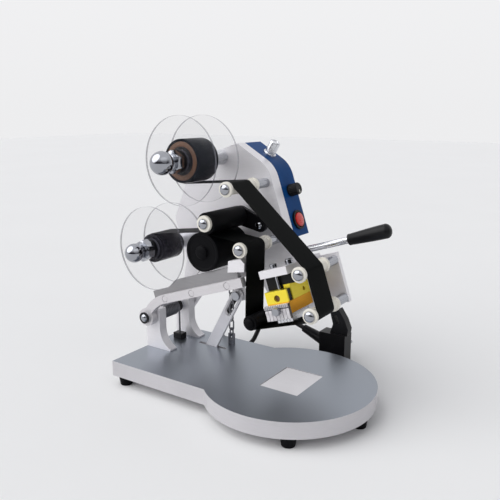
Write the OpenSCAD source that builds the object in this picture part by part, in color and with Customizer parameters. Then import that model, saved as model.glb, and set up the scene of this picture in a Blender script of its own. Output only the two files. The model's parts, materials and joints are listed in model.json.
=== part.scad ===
// Hand-operated ribbon coding machine, millimetres, +Z up.
// X runs from the rear pivot to the round front of the base, reels face -Y.
// The head is drawn level, as when it prints, and then raised about the rear pivot.

/* [Base] */
// Radius of the round front of the base
disc_r = 95; // [85:1:110]
// Width of the straight tail of the base
tail_w = 142; // [130:1:160]
// Length of the tail, from the centre of the round front to the rear edge
tail_len = 200; // [196:1:215]
// Thickness of the base casting
base_t = 18; // [16:1:26]
// Height of the rubber feet
foot_h = 12; // [8:1:16]
// Radius of a foot where it meets the base
foot_r = 9; // [7:0.5:11]
// Length of the work plate along the machine
anvil_l = 46; // [36:1:60]
// Width of the work plate across the machine
anvil_w = 58; // [44:1:70]
// Thickness of the work plate
anvil_t = 4; // [3:0.5:7]
// Depth of the work plate's top below the base's top
anvil_drop = 0.6; // [0.2:0.1:1]

/* [Stand and pivot] */
// Distance of the pivot in front of the base's rear edge
pivot_in = 8; // [6:0.5:11]
// Height of the pivot above the base's top
pivot_h = 41; // [38:0.5:46]
// Radius of the pivot shaft
pivot_r = 6; // [4.5:0.25:7]
// Thickness of each upright
upright_t = 12; // [9:0.5:13]
// Distance between the outer faces of the uprights
upright_span = 68; // [64:0.5:69]
// Depth of an upright, rear face to straight front edge
upright_d = 22; // [20:0.5:26]
// Angle that the head is raised at rest
lift = 18.6; // [16:0.1:19]

/* [Head frame] */
// Distance of the main plate's near face from the centre plane
plate_y = 58; // [57.5:0.5:62]
// Thickness of the main plate
plate_t = 6; // [5:0.5:8]
// Depth of the rim behind the plate's near face
rim_d = 16; // [13:0.5:20]
// Thickness of the rim's wall
rim_w = 5; // [4:0.5:7]
// Front edge of the main plate
plate_front = -14; // [-15:0.5:-12]
// Height of the main plate's top edge above the base
plate_top = 213; // [212:0.5:222]
// Height of the main plate's lower edge above the base
plate_low = 56.5; // [55:0.5:58]
// Reach of the plate's lower nose in front of the centre
nose_front = 42; // [41:0.5:50]
// Thickness of the near arm
arm_t = 8; // [6:0.5:10]
// Height of the near arm's bar
arm_h = 10.5; // [8:0.5:12]
// Height of the near arm's top edge above the base
arm_top = 63.5; // [62.5:0.5:66]
// Front end of the near arm
arm_front = -36; // [-44:1:-30]
// Depth of the blue cover behind the rim
cover_d = 34; // [30:1:46]
// Thickness of the cover's walls
cover_w = 2.5; // [2:0.25:3]

/* [Handle] */
// Radius of the handle rod
handle_r = 4; // [3:0.25:5]
// Height of the handle above the base with the head level
handle_h = 71.5; // [70:0.5:74]
// Length of rod between the plate and the grip
handle_rod = 72; // [60:1:80]
// Length of the grip
grip_l = 50; // [40:1:60]
// Largest radius of the grip
grip_r = 8; // [6.5:0.25:9]

/* [Reels] */
// Radius of the clear reel discs
reel_r = 50; // [44:0.5:50.5]
// Thickness of a reel disc
reel_t = 3; // [2:0.25:4]
// Width of the ribbon
ribbon_w = 36; // [30:0.5:37]
// Near edge of the ribbon from the centre plane
ribbon_near = -17; // [-18:0.5:-15]
// Thickness of the ribbon band
ribbon_t = 0.4; // [0.3:0.05:0.6]
// Radius of the full supply roll
roll_r = 24.5; // [18:0.5:30]
// Radius of the used roll on the lower reel
used_r = 17; // [16:0.5:24]
// Radius of the reel spindles
spindle_r = 6; // [4:0.25:7]
// Radius of the upper chrome ball
ball_upper = 13; // [10:0.5:15]
// Radius of the lower chrome ball
ball_lower = 11; // [10:0.5:13]

/* [Rollers] */
// Radius of the guide rollers
roller_r = 6.6; // [5.5:0.1:7]
// Radius of the end flanges on the guide rollers
flange_r = 8.3; // [7.8:0.1:9]
// Radius of the guide roller axles
axle_r = 3; // [2:0.25:3.5]
// Radius of the lower rear rubber roller
tail_roller_r = 8; // [7:0.25:9]
// Radius of the rubber feed drum
drum_r = 22.5; // [19:0.5:23.5]
// Radius of the pinch roller
pinch_r = 12; // [9:0.5:13]
// Far end of the guide rollers
roller_far = 33; // [31:0.5:36]

/* [Print head] */
// Length of the heater block along the machine
heater_l = 27.5; // [24:0.5:32]
// Width of the heater block across the machine
heater_w = 46; // [40:0.5:50]
// Height of the heater block
heater_h = 13; // [10:0.5:14]
// Height of the heater block's underside above the base
heater_low = 29; // [27:0.5:30]
// Length of the head bracket along the machine
bracket_l = 35; // [32:0.5:38]
// Thickness of the head bracket
bracket_t = 8.5; // [7:0.5:10]

/* [Feed link] */
// Thickness of the link bar
link_t = 4; // [3:0.25:5]
// Width of the link bar
link_w = 15; // [13:0.5:16]
// Distance from the link's lower pin to its slot pin at rest
link_reach = 92; // [90:0.5:94]
// Thickness of the chain's wire
chain_wire = 2; // [1.5:0.1:2.5]
// Pitch of the chain
chain_pitch = 11.5; // [10:0.5:14]

/* [Cord] */
// Diameter of the mains cord
cord_d = 6; // [5:0.25:7]

/* [Hidden] */
$fn = 64;
slack = 0.05;
gap = 0.3;
wide_gap = 1;
base_top = foot_h + base_t;
pivot_back = tail_len - pivot_in;
pivot_x = -pivot_back;
pivot_z = base_top + pivot_h;

// Places on the level head, measured from the centre of the round front and the base's top
supply = [-74, 204];
takeup = [-152.5, 120];
top_roller = [-23, 158.5];
rear_roller = [-27, 92.5];
front_roller = [37, 54];
nose_roller = [37, 10.5];
tail_roller = [-39, 13.5];
drum = [-81.5, 100.5];
nip_angle = 56.5;
nip_room = 0.1;
pinch = drum + (drum_r + pinch_r + ribbon_t + 2 * gap + nip_room) * [cos(nip_angle), sin(nip_angle)];
rollers = [top_roller, rear_roller, front_roller, nose_roller];

// Where a point of the level head lies at rest
function raised(p) = [
    pivot_x + (p[0] - pivot_x) * cos(lift) - (p[1] - pivot_h) * sin(lift),
    pivot_z + (p[1] - pivot_h) * cos(lift) + (p[0] - pivot_x) * sin(lift)];

// The origin lies under the middle of the machine's box, without its cord
cover_y = plate_y + rim_d;
cover_end = cover_y + cover_d;
mid_x = (disc_r + raised(takeup)[0] - reel_r) / 2;
mid_y = (cover_end - disc_r) / 2;

// Base
neck_x = -sqrt(disc_r * disc_r - tail_w * tail_w / 4);
anvil_x = 3;
anvil_pocket = anvil_t + anvil_drop;
foot_in = foot_r + 2;
foot_ring = disc_r - foot_in;
nose_foot_angle = 60;
foot_low_r = foot_r - 2;
foot_bore_r = 5.5;
foot_screw_r = 2.5;
foot_web = 4;
foot_screw_in = 8;
feet_at = [
    [-tail_len + foot_in, -tail_w / 2 + foot_in],
    [-tail_len + foot_in, tail_w / 2 - foot_in],
    foot_ring * [cos(nose_foot_angle), -sin(nose_foot_angle)],
    [foot_ring, 0],
    foot_ring * [cos(nose_foot_angle), sin(nose_foot_angle)]];

// Stand
upright_far = plate_y - wide_gap - upright_t;
upright_near = upright_far + upright_t - upright_span;
upright_ys = [upright_near, upright_far];
upright_rear = -tail_len;
upright_front = upright_rear + upright_d;
upright_top = pivot_h + pivot_r + 4;
flare_r = 26;
flare_l = 16;
ear_r = pivot_r + 5;
arm_y = upright_near - wide_gap - arm_t;
shaft_y0 = arm_y - 2;
shaft_y1 = plate_y + plate_t + 2;
collar_r = pivot_r + 2.5;
collar_t = 2;

// Return spring
wire_r = 1.2;
coil_r = pivot_r + wire_r + 1.6;
coil_turns = 8;
coil_pitch = 3;
coil_back = 15;
coil_y0 = (upright_near + upright_t + upright_far) / 2 - coil_back;
coil_y1 = coil_y0 + coil_turns * coil_pitch;
bushing_y = coil_y1 + wire_r + gap;
bushing_t = 7;
anchor_h = 8;
anchor_l = 14;
anchor_w = 10;
anchor_x = pivot_x + coil_r;

// Frame outlines
chamfer_x = -47;
chamfer_fall = 49;
corner_r = 36;
corner_steps = 12;
corner_mid = [
    plate_front - corner_r,
    plate_top - (corner_r + sin(chamfer_fall) * (plate_front - corner_r - chamfer_x)) / cos(chamfer_fall)];
plate_back_top = -118;
plate_back = -172;
plate_shoulder = 152;
plate_hip = 96;
nose_top = 62;
nose_low = 5;
nose_rear = -52;
belly_front = -70;
belly_rear = -150;
cover_rear = -130;
cover_low = 88;
web_rear = -165;
web_front = -110;
web_t = 5.5;
lip_t = 7;
lip_rear = -176;
lip_front = -45;
lip_low = 57.5;
lip_top = 77;
lip_shoulder = 70;
lip_slope = 14;
tab_out = 4;
tab_corners = [[-27, -20.5], [-22, -8.5], [-5, -9.5], [-1.5, -15.5], [-5, -24]];
web_tab = [for (p = tab_corners) rear_roller + p];
arm_bend_x = -155;
arm_mid = arm_top - arm_h / 2;
bend_run = arm_bend_x - pivot_x;
bend_rise = arm_mid - pivot_h;
bend_r = (bend_run * bend_run + bend_rise * bend_rise) / (2 * bend_rise);
bend_z = arm_mid - bend_r;
screw_r = 2;
screw_head = 3.8;
screw_head_t = 2.4;
screw_in = 6;

// Reels and rollers
reel_room = 1;
disc_near = ribbon_near - reel_room - reel_t;
disc_far = ribbon_near + ribbon_w + reel_room;
hub_wall = 6;
hub_r = spindle_r + hub_wall;
barrel_wall = 4;
barrel_r = hub_r + barrel_wall;
core_share = 0.65;
core_r = barrel_r + core_share * (roll_r - barrel_r);
hub_out = 4;
hub_near = disc_near - hub_out;
hub_far = disc_far + reel_t + hub_out;
nut_y = hub_near - gap;
nut_t = 10;
nut_wall = 7;
nut_r = spindle_r + nut_wall;
nut_neck = 4;
nut_in = 2;
spindle_end = nut_y - nut_t - nut_in;
flange_t = 4;
roller_near = ribbon_near - gap - flange_t;
axle_end = roller_near - gap;
axle_head_out = 2.8;
axle_head_t = 2;
post_out = 2.6;
drum_near = ribbon_near + 1;
drum_far = 44;
drum_axle = 5;
drum_collar_y = drum_near - gap;
wheel_y0 = drum_far + 2;
wheel_w = 10;
wheel_r = 10;
wheel_groove = 3;
wheel_y = wheel_y0 + wheel_w / 2;
pinch_near = ribbon_near - 3;
pinch_far = 43;
pinch_step = 2.8;

// Print head
heater_x = -12.5;
heater_near = -17;
heater_top = heater_low + heater_h;
holder_h = 12.5;
holder_low = heater_low - gap - holder_h;
type_in = 5;
type_low = 7;
type_bars = 5;
type_margin = 4;
clamp_t = 4.5;
clamp_z = holder_low + 1.5;
clamp_r = 4.5;
clamp_l = 5;
clamp_rod = 2.5;
bracket_x = -13;
bracket_rise = 15;
bracket_low = heater_top + bracket_rise;
bracket_top = bracket_low + bracket_t;
rod_r = 1.8;
rod_head_out = 2;
cap_t = 4.5;
rod_inset = 7;
block_l = 35;
block_w = 27;
near_bar_t = 2;
strip_w = 8;
strip_l = 8.5;
strip_in = 1;
heater_step = 4;
probe_rise = 6;
cartridge_r = 3.6;
cartridge_in = 2.5;
probe_r = 2.2;

// Chain
chain_x = raised(drum)[0] - wheel_r + wheel_groove - chain_wire / 2;
chain_rise = 9;
chain_foot = base_top + chain_rise;
chain_links = floor((raised(drum)[1] - chain_foot) / chain_pitch);
link_inner = chain_pitch + gap;
link_half = 2;

// Feed link: its slot pin keeps a distance in front of the chain
link_y = 33;
link_pin_r = 2.5;
link_drop = 9;
link_lean = 61.4;
pin_ahead = 20.25;
link_x = chain_x + pin_ahead - link_reach * cos(link_lean);
slot_pin_r = 3;
slot_slack = 1.4;
slot_spare = 2.35;
slit_l = 42;
slit_ahead = 6;
slit_x = link_x + slit_ahead;
slit_clear = 0.5;
slot_pin = [link_x + link_reach * cos(link_lean), link_reach * sin(link_lean) - link_drop];
function levelled(p) = [
    pivot_x + (p[0] - pivot_x) * cos(lift) + (p[1] - pivot_h) * sin(lift),
    pivot_h + (p[1] - pivot_h) * cos(lift) - (p[0] - pivot_x) * sin(lift)];
slot_pin_level = levelled(slot_pin);
pressed_run = slot_pin_level - [link_x, -link_drop];
pressed_lean = atan2(pressed_run[1], pressed_run[0]);
slot_travel = link_reach - norm(pressed_run) + slot_spare;
tab_t = 6;
tab_y = link_y + link_t + 2.5;
tab_half = 7;
tab_low = 8;
tab_foot = 8.5;

// Electrics on the cover
panel_y = cover_y + cover_d / 2;
bezel_r = 11.5;
bezel_t = 2.5;
barrel_t = 1;
barrel_l = 14;
barrel_in = 10;
rocker_r = 9;
rocker_pin = 1.2;
rocker_in = 3;
rocker_crown = 30;
switch_over = 6.5;
switch_h = cover_low + cover_w + rocker_r + barrel_t + switch_over;
knob_r = 7.5;
knob_l = 13;
knob_shaft = 3;
knob_over = 17;
knob_h = switch_h + bezel_r + knob_r + knob_over;
fuse_at = 0.55;
fuse_r = 6.5;
fuse_l = 18;
fuse_collar = 8;
fuse_slot = 1.6;
gland_x = -119;
gland_r = 7;
gland_l = 22;

// Cord: it lands behind the base, lies in a flat hank and rises to the plug
cord_r = cord_d / 2;
cord_sides = 8;
hank_x = -88;
hank_half = 60;
hank_y = 80;
hank_in = 3 * cord_d;
hank_step = 1.4 * cord_d;
hank_turns = 2;
hank_start_x = -142;
plug_x = -14;
plug_y = 140;
plug_l = 36;
plug_w = 20;
plug_h = 40;
relief_l = 30;
relief_rise = 20;
relief_z = 26;
relief_r = 8;
arm_plug_w = 12;
plug_grip = [[-5, -1], [19, -1], [20, 8], [15, 20], [6, 33], [-5, 26], [-1, 12]];
plug_hole = [4, 11];
plug_hole_at = [4, 19];
pin_r = 2.4;
pin_l = 19;
pin_gap = 19;

// Placing
module placed() {
    translate([-mid_x, -mid_y, 0]) children();
}

module head() {
    placed()
    translate([pivot_x, 0, pivot_z])
    rotate([0, -lift, 0])
    translate([-pivot_x, 0, -pivot_h])
    children();
}

// A flat outline in X and Z, thickened along Y from y to y + t
module slab(y, t) {
    translate([0, y + t, 0])
    rotate([90, 0, 0])
    linear_extrude(t)
    children();
}

// A round bar along Y
module bar_y(p, y0, y1, r) {
    translate([p[0], y0, p[1]])
    rotate([-90, 0, 0])
    cylinder(h = y1 - y0, r = r);
}

// A round bar along X
module bar_x(x0, x1, y, z, r) {
    translate([x0, y, z])
    rotate([0, 90, 0])
    cylinder(h = x1 - x0, r = r);
}

// A screw with its head above the point and its shank below
module screw(shank_r, head_r, head_t, depth) {
    cylinder(h = head_t, r = head_r);
    translate([0, 0, -depth]) cylinder(h = depth + head_t / 2, r = shank_r);
}

// Tubes swept along a list of points
function unit(v) = v / norm(v);
function heading(p, i) = unit(p[min(i + 1, len(p) - 1)] - p[max(i - 1, 0)]);
function across(n, t) = unit(n - (n * t) * t);
function sides_along(p, first) = [
    for (i = 0, n = across(first, heading(p, 0));
        i < len(p);
        i = i + 1, n = i < len(p) ? across(n, heading(p, i)) : n) n];
function ring(c, n, t, r, sides) = [
    for (k = [0 : sides - 1])
        c + r * (cos(360 * k / sides) * n + sin(360 * k / sides) * cross(t, n))];
function least_gap(p, d, apart) = min([
    for (i = [0 : len(p) - 1])
        for (j = [i + apart : 1 : len(p) - 1])
            norm(p[i] - p[j])]) - d;

module tube(p, r, sides, first) {
    normals = sides_along(p, first);
    points = [
        for (i = [0 : len(p) - 1])
            each ring(p[i], normals[i], heading(p, i), r, sides)];
    last = (len(p) - 1) * sides;
    skin = [
        for (i = [0 : len(p) - 2])
            for (k = [0 : sides - 1])
                each [
                    [i * sides + k, (i + 1) * sides + k, (i + 1) * sides + (k + 1) % sides],
                    [i * sides + k, (i + 1) * sides + (k + 1) % sides, i * sides + (k + 1) % sides]]];
    near_cap = [for (k = [1 : sides - 2]) [0, k, k + 1]];
    far_cap = [for (k = [1 : sides - 2]) [last, last + k + 1, last + k]];
    polyhedron(points = points, faces = concat(skin, near_cap, far_cap), convexity = 8);
}

// The ribbon's path: circles with a radius and the side on which the ribbon passes them
ribbon_lift = gap + ribbon_t / 2;
ribbon_rounds = [
    [supply, roll_r + ribbon_lift, 1],
    [top_roller, roller_r + ribbon_lift, -1],
    [front_roller, roller_r + ribbon_lift, -1],
    [nose_roller, roller_r + ribbon_lift, -1],
    [tail_roller, tail_roller_r + ribbon_lift, -1],
    [rear_roller, roller_r + ribbon_lift, 1],
    [pinch, pinch_r + ribbon_lift, -1],
    [drum, drum_r + ribbon_lift, 1],
    [takeup, used_r + ribbon_lift, 1]];
ribbon_arc_step = 15;
function run_angle(a, b) =
    let (d = b[0] - a[0])
    atan2(d[1], d[0]) - asin((b[2] * b[1] - a[2] * a[1]) / norm(d));
back_turn = 40;
function full_turn(a) = a - 360 * floor((a + back_turn) / 360);
run_angles = [for (i = [0 : len(ribbon_rounds) - 2]) run_angle(ribbon_rounds[i], ribbon_rounds[i + 1])];
function on_round(c, angle, out) = c[0] - (c[2] * c[1] - out) * [-sin(angle), cos(angle)];
function wrap(c, a0, a1) =
    let (sweep = c[2] * full_turn(c[2] * (a1 - a0)), n = max(1, ceil(abs(sweep) / ribbon_arc_step)))
    [for (k = [0 : n]) a0 + sweep * k / n];
function ribbon_side(out) = [
    on_round(ribbon_rounds[0], run_angles[0], out),
    for (i = [1 : len(ribbon_rounds) - 2])
        for (angle = wrap(ribbon_rounds[i], run_angles[i - 1], run_angles[i]))
            on_round(ribbon_rounds[i], angle, out),
    on_round(ribbon_rounds[len(ribbon_rounds) - 1], run_angles[len(run_angles) - 1], out)];
function backwards(list) = [for (i = [len(list) - 1 : -1 : 0]) list[i]];

// Base casting, feet and work plate
module base_outline() {
    circle(disc_r, $fn = 128);
    translate([-tail_len, -tail_w / 2]) square([tail_len + neck_x + 2, tail_w]);
}

module base_plate() {
    color("lightgray")
    placed()
    difference() {
        translate([0, 0, foot_h]) linear_extrude(base_t) base_outline();
        translate([anvil_x - anvil_l / 2 - gap, -anvil_w / 2 - gap, base_top - anvil_pocket])
            cube([anvil_l + 2 * gap, anvil_w + 2 * gap, anvil_pocket + 1]);
        translate([slit_x - slit_l / 2, link_y - slit_clear, foot_h - 1])
            cube([slit_l, link_t + 2 * slit_clear, base_t + 2]);
        bar_y([link_x, base_top - link_drop], link_y - 10, tail_w / 2 + 1, link_pin_r + slack);
        for (p = feet_at)
            translate([p[0], p[1], foot_h - 1]) cylinder(h = foot_screw_in + 1, r = foot_screw_r + slack);
    }
}

module anvil_plate() {
    color("whitesmoke")
    placed()
    translate([anvil_x - anvil_l / 2, -anvil_w / 2, base_top - anvil_pocket])
    cube([anvil_l, anvil_w, anvil_t]);
}

module feet() {
    color("black")
    placed()
    for (p = feet_at)
        translate([p[0], p[1], 0])
        difference() {
            cylinder(h = foot_h, r1 = foot_low_r, r2 = foot_r);
            translate([0, 0, -1]) cylinder(h = foot_h - foot_web + 1, r = foot_bore_r);
            cylinder(h = foot_h + 1, r = foot_screw_r + slack);
        }
}

module foot_screws() {
    color("silver")
    placed()
    for (p = feet_at)
        translate([p[0], p[1], foot_h - foot_web])
        rotate([180, 0, 0])
        screw(foot_screw_r, foot_bore_r - 1, 2, foot_web + foot_screw_in - 1);
}

// Uprights with a flared front foot
module upright_outline() {
    difference() {
        translate([upright_rear, 0]) square([upright_d + flare_l, upright_top]);
        translate([upright_front + flare_r, flare_r]) circle(flare_r);
        translate([upright_front, flare_r]) square([flare_l + 1, upright_top]);
    }
}

module uprights() {
    color("silver")
    placed()
    difference() {
        for (y = upright_ys)
            translate([0, 0, base_top]) slab(y, upright_t) upright_outline();
        bar_y([pivot_x, pivot_z], upright_near - 1, upright_far + upright_t + 1, pivot_r + slack);
    }
}

module pivot_shaft() {
    color("gainsboro")
    placed()
    bar_y([pivot_x, pivot_z], shaft_y0, shaft_y1, pivot_r);
}

module pivot_collars() {
    color("gainsboro")
    placed()
    for (y = [shaft_y0 - collar_t, shaft_y1])
        bar_y([pivot_x, pivot_z], y, y + collar_t, y < 0 ? pivot_r + 1 : collar_r);
}

// Torsion spring round the pivot shaft
leg_tip = raised([web_rear + 8, arm_top]) - [0, wire_r + gap];
leg_run = leg_tip - [pivot_x, pivot_z];
leg_angle = atan2(leg_run[1], leg_run[0]) + acos(coil_r / norm(leg_run));
coil_rings = 8;
coil_sweep = 360 * coil_turns + leg_angle;
coil_steps = ceil(coil_sweep * coil_rings / 360);
spring_path = concat(
    [[anchor_x, coil_y1, base_top + anchor_h], [anchor_x, coil_y1, base_top + anchor_h + 6]],
    [for (i = [0 : coil_steps])
        let (angle = coil_sweep * i / coil_steps)
        [pivot_x + coil_r * cos(angle), coil_y1 - coil_pitch * angle / 360, pivot_z + coil_r * sin(angle)]],
    [[leg_tip[0], coil_y1 - coil_pitch * coil_sweep / 360, leg_tip[1]]]);

module return_spring() {
    color("dimgray")
    placed()
    tube(spring_path, wire_r, 6, [1, 0, 0]);
}

module spring_bushing() {
    color("black")
    placed()
    difference() {
        bar_y([pivot_x, pivot_z], bushing_y, bushing_y + bushing_t, pivot_r + 2);
        bar_y([pivot_x, pivot_z], bushing_y - 1, bushing_y + bushing_t + 1, pivot_r + slack);
    }
}

module spring_anchor() {
    color("black")
    placed()
    translate([anchor_x - anchor_l / 2, coil_y1 - anchor_w / 2, base_top])
    cube([anchor_l, anchor_w, anchor_h]);
}

// Feed link, its pins and the chain
module link_base_pin() {
    color("silver")
    placed()
    bar_y([link_x, base_top - link_drop], link_y - 9.5, tail_w / 2 - 3, link_pin_r);
}

module link_bar() {
    color("gainsboro")
    placed()
    translate([link_x, 0, base_top - link_drop])
    rotate([0, -link_lean, 0])
    difference() {
        slab(link_y, link_t) {
            circle(link_w / 2);
            translate([0, -link_w / 2]) square([link_reach, link_w]);
            translate([link_reach, 0]) circle(link_w / 2);
        }
        slab(link_y - 1, link_t + 2) {
            circle(link_pin_r + slack);
            translate([link_reach - slot_travel, -slot_pin_r - slot_slack])
                square([slot_travel, 2 * (slot_pin_r + slot_slack)]);
            translate([link_reach, 0]) circle(slot_pin_r + slot_slack);
            translate([link_reach - slot_travel, 0]) circle(slot_pin_r + slot_slack);
        }
    }
}

module link_tab() {
    color("silver")
    head()
    difference() {
        union() {
            translate([slot_pin_level[0] - tab_half, tab_y, slot_pin_level[1] - tab_low])
                cube([2 * tab_half, tab_t, plate_low + tab_foot + tab_low - slot_pin_level[1]]);
            translate([slot_pin_level[0] - 1, tab_y, plate_low + 1])
                cube([tab_half + 1, plate_y - tab_y, tab_foot - 1]);
        }
        bar_y(slot_pin_level, tab_y - 1, tab_y + tab_t + 1, slot_pin_r + slack);
    }
}

module link_slot_pin() {
    color("gainsboro")
    head() {
        bar_y(slot_pin_level, link_y - 1, tab_y + tab_t, slot_pin_r);
        bar_y(slot_pin_level, link_y - 3, link_y - 1, slot_pin_r + 2.5);
    }
}

module chain_anchor() {
    color("dimgray")
    placed()
    translate([chain_x, wheel_y, base_top])
    difference() {
        translate([-4, -chain_wire, 0]) cube([8, 2 * chain_wire, chain_foot - base_top + link_inner / 2]);
        translate([0, -chain_wire - 1, chain_foot - base_top])
            rotate([-90, 0, 0]) cylinder(h = 2 * chain_wire + 2, r = chain_wire + 0.6);
    }
}

// One chain link: two bent ends and two straight sides, standing on its end
module chain_link() {
    bend = link_half + chain_wire / 2;
    straight = link_inner - 2 * link_half;
    for (side = [-1, 1]) {
        translate([side * bend, 0, -straight / 2]) cylinder(h = straight, r = chain_wire / 2, $fn = 24);
        translate([0, 0, side * straight / 2])
            rotate([90, 0, side < 0 ? 180 : 0])
            rotate([side < 0 ? 180 : 0, 0, 0])
            rotate_extrude(angle = 180, $fn = 32)
            translate([bend, 0]) circle(chain_wire / 2, $fn = 24);
    }
}

module chain() {
    color("dimgray")
    placed()
    for (i = [1 : chain_links])
        translate([chain_x, wheel_y, chain_foot + chain_pitch * (i - 0.5)])
        rotate([0, 0, 90 * (i % 2)])
        chain_link();
}

// The rounded corner between the front edge and the chamfer, moved in by inset
function front_corner(inset) = [
    for (k = [0 : corner_steps])
        let (turn = (90 - chamfer_fall) * k / corner_steps)
        corner_mid + (corner_r - inset) * [cos(turn), sin(turn)]];

// Main plate: outline, rim behind it, bosses and bores
module plate_outline() {
    polygon([
        [plate_front, nose_top], each front_corner(0), [chamfer_x, plate_top],
        [plate_back_top, plate_top], [plate_back, plate_shoulder], [plate_back, plate_hip],
        [pivot_x - ear_r, pivot_h], [pivot_x + ear_r / 3, pivot_h - ear_r], [belly_rear, plate_low],
        [belly_front, plate_low], [nose_rear, nose_low], [nose_front, nose_low],
        [nose_front, nose_top]]);
    translate([pivot_x, pivot_h]) circle(ear_r);
}

// The box behind the plate, moved in by inset
module box_outline(inset) {
    chamfer_end = chamfer_x - inset * (1 - cos(chamfer_fall)) / sin(chamfer_fall);
    polygon([
        [cover_rear + inset, cover_low + inset], [plate_front - inset, cover_low + inset],
        each front_corner(inset), [chamfer_end, plate_top - inset],
        [cover_rear + inset, plate_top - inset]]);
}

handle_block = 2 * handle_r + 6;
handle_seat = 24;

module main_plate() {
    color("gainsboro")
    head()
    difference() {
        union() {
            slab(plate_y, plate_t) plate_outline();
            slab(plate_y, rim_d) difference() {
                box_outline(0);
                box_outline(rim_w);
            }
            translate([plate_front - handle_seat, plate_y, handle_h - handle_block / 2])
                cube([handle_seat, rim_d, cover_low - handle_h + handle_block / 2]);
            for (p = [supply, takeup])
                bar_y(p, plate_y, plate_y + rim_d - wide_gap, spindle_r + 3);
        }
        bar_y([pivot_x, pivot_h], plate_y - 1, plate_y + plate_t + 1, pivot_r + slack);
        bar_x(plate_front - handle_seat + 4, plate_front + 1, plate_y + rim_d / 2, handle_h, handle_r + slack);
        for (p = [supply, takeup])
            bar_y(p, plate_y - 1, plate_y + rim_d, spindle_r + slack);
        for (p = concat(rollers, [tail_roller, pinch]))
            bar_y(p, plate_y - 1, plate_y + plate_t + 1, axle_r + slack);
        bar_y(drum, plate_y - 1, plate_y + plate_t + 1, drum_axle + slack);
    }
}

// Near arm: a straight bar that bends down to the pivot
module arm_outline() {
    translate([arm_bend_x - 1, arm_top - arm_h]) square([arm_front - arm_bend_x + 1, arm_h]);
    translate([pivot_x, pivot_h]) circle(ear_r);
    intersection() {
        translate([arm_bend_x, bend_z]) difference() {
            circle(bend_r + arm_h / 2);
            circle(bend_r - arm_h / 2);
        }
        polygon([
            [arm_bend_x, bend_z], [arm_bend_x, arm_top + 1],
            [pivot_x - arm_h, arm_top + 1], [pivot_x - arm_h, pivot_h + arm_h / 2],
            [pivot_x, pivot_h]]);
    }
}

lip_screws = [[web_rear + 12, arm_mid], [web_front, arm_mid], [lip_front - 12, arm_mid]];

module near_arm() {
    color("gainsboro")
    head()
    difference() {
        slab(arm_y, arm_t) arm_outline();
        bar_y([pivot_x, pivot_h], arm_y - 1, arm_y + arm_t + 1, pivot_r + slack);
        for (p = lip_screws) {
            bar_y(p, arm_y - 1, arm_y + arm_t + 1, screw_r + slack);
            bar_y(p, arm_y - 1, arm_y + screw_head_t, screw_head + gap);
        }
    }
}

// Cross web between the arm and the plate, with a lip along the arm and a tab below the rear roller
module cross_web() {
    color("darkgray")
    head()
    difference() {
        union() {
            slab(arm_y + arm_t, lip_t)
                polygon([
                    [lip_rear, lip_low], [lip_front, lip_low], [lip_front, lip_top],
                    [belly_rear + lip_slope, lip_top], [belly_rear, lip_shoulder], [lip_rear, lip_shoulder]]);
            slab(arm_y + arm_t - tab_out, lip_t + tab_out) polygon(web_tab);
            translate([web_rear, arm_y + arm_t, arm_top])
                cube([web_front - web_rear, plate_y - arm_y - arm_t, web_t]);
        }
        for (p = lip_screws)
            bar_y(p, arm_y, arm_y + arm_t + screw_in, screw_r + slack);
    }
}

// Screws of one size: sunk into the near arm, and on the head bracket
bracket_screw_y = [2, 30];
bracket_screw_x = bracket_x + bracket_l - rod_inset;

module frame_screws() {
    color("silver")
    head() {
        for (p = lip_screws)
            translate([p[0], arm_y + screw_head_t, p[1]])
            rotate([90, 0, 0])
            screw(screw_r, screw_head, screw_head_t, arm_t + screw_in - screw_head_t - 1);
        for (y = bracket_screw_y)
            translate([bracket_screw_x, y, bracket_top])
            screw(screw_r, screw_head, cap_t, bracket_t - 1);
    }
}

// Blue cover, open towards the plate
cover_screw_in = 10;
over_gland = 26;
behind_switch = 34;
cover_screw_at = [
    [cover_rear + cover_screw_in, cover_low + over_gland],
    [plate_front - behind_switch, cover_low + cover_screw_in],
    [cover_rear + cover_screw_in, plate_top - cover_screw_in]];
countersink = 3.6;
cover_post = 5;

module cover() {
    color("royalblue")
    head()
    difference() {
        union() {
            difference() {
                slab(cover_y, cover_d) box_outline(0);
                slab(cover_y - 1, cover_d - cover_w + 1) box_outline(cover_w);
            }
            for (p = cover_screw_at)
                bar_y(p, cover_y, cover_end - cover_w / 2, cover_post);
        }
        for (p = cover_screw_at) {
            bar_y(p, cover_y - 1, cover_end + 1, screw_r + slack);
            bar_y(p, cover_end - 2, cover_end + 1, countersink + slack);
        }
        bar_x(plate_front - cover_w - 1, plate_front + 1, panel_y, knob_h, knob_shaft + slack);
        bar_x(plate_front - cover_w - 1, plate_front + 1, panel_y, switch_h, rocker_r + barrel_t);
        fuse_place() translate([0, 0, -cover_w - 1]) cylinder(h = cover_w + 2, r = fuse_r - 2);
        translate([gland_x, panel_y, cover_low - 1]) cylinder(h = cover_w + 2, r = gland_r - 2);
    }
}

module cover_screws() {
    color("silver")
    head()
    for (p = cover_screw_at) {
        bar_y(p, cover_y, cover_end - 1, screw_r);
        bar_y(p, cover_end - 2, cover_end, countersink);
    }
}

// Fuse holder, square to the chamfered corner
chamfer_l = (plate_front - chamfer_x) / cos(chamfer_fall);
module fuse_place() {
    translate([chamfer_x, panel_y, plate_top])
    rotate([0, chamfer_fall, 0])
    translate([fuse_at * chamfer_l, 0, 0])
    children();
}

module fuse_holder() {
    color("silver")
    head()
    fuse_place()
    difference() {
        union() {
            cylinder(h = 3, r = fuse_collar);
            cylinder(h = fuse_l, r = fuse_r);
            translate([0, 0, -cover_w - 12]) cylinder(h = cover_w + 13, r = fuse_r - 2 - slack);
        }
        translate([-fuse_slot / 2, -fuse_r - 1, fuse_l - 2]) cube([fuse_slot, 2 * fuse_r + 2, 3]);
    }
}

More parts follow.
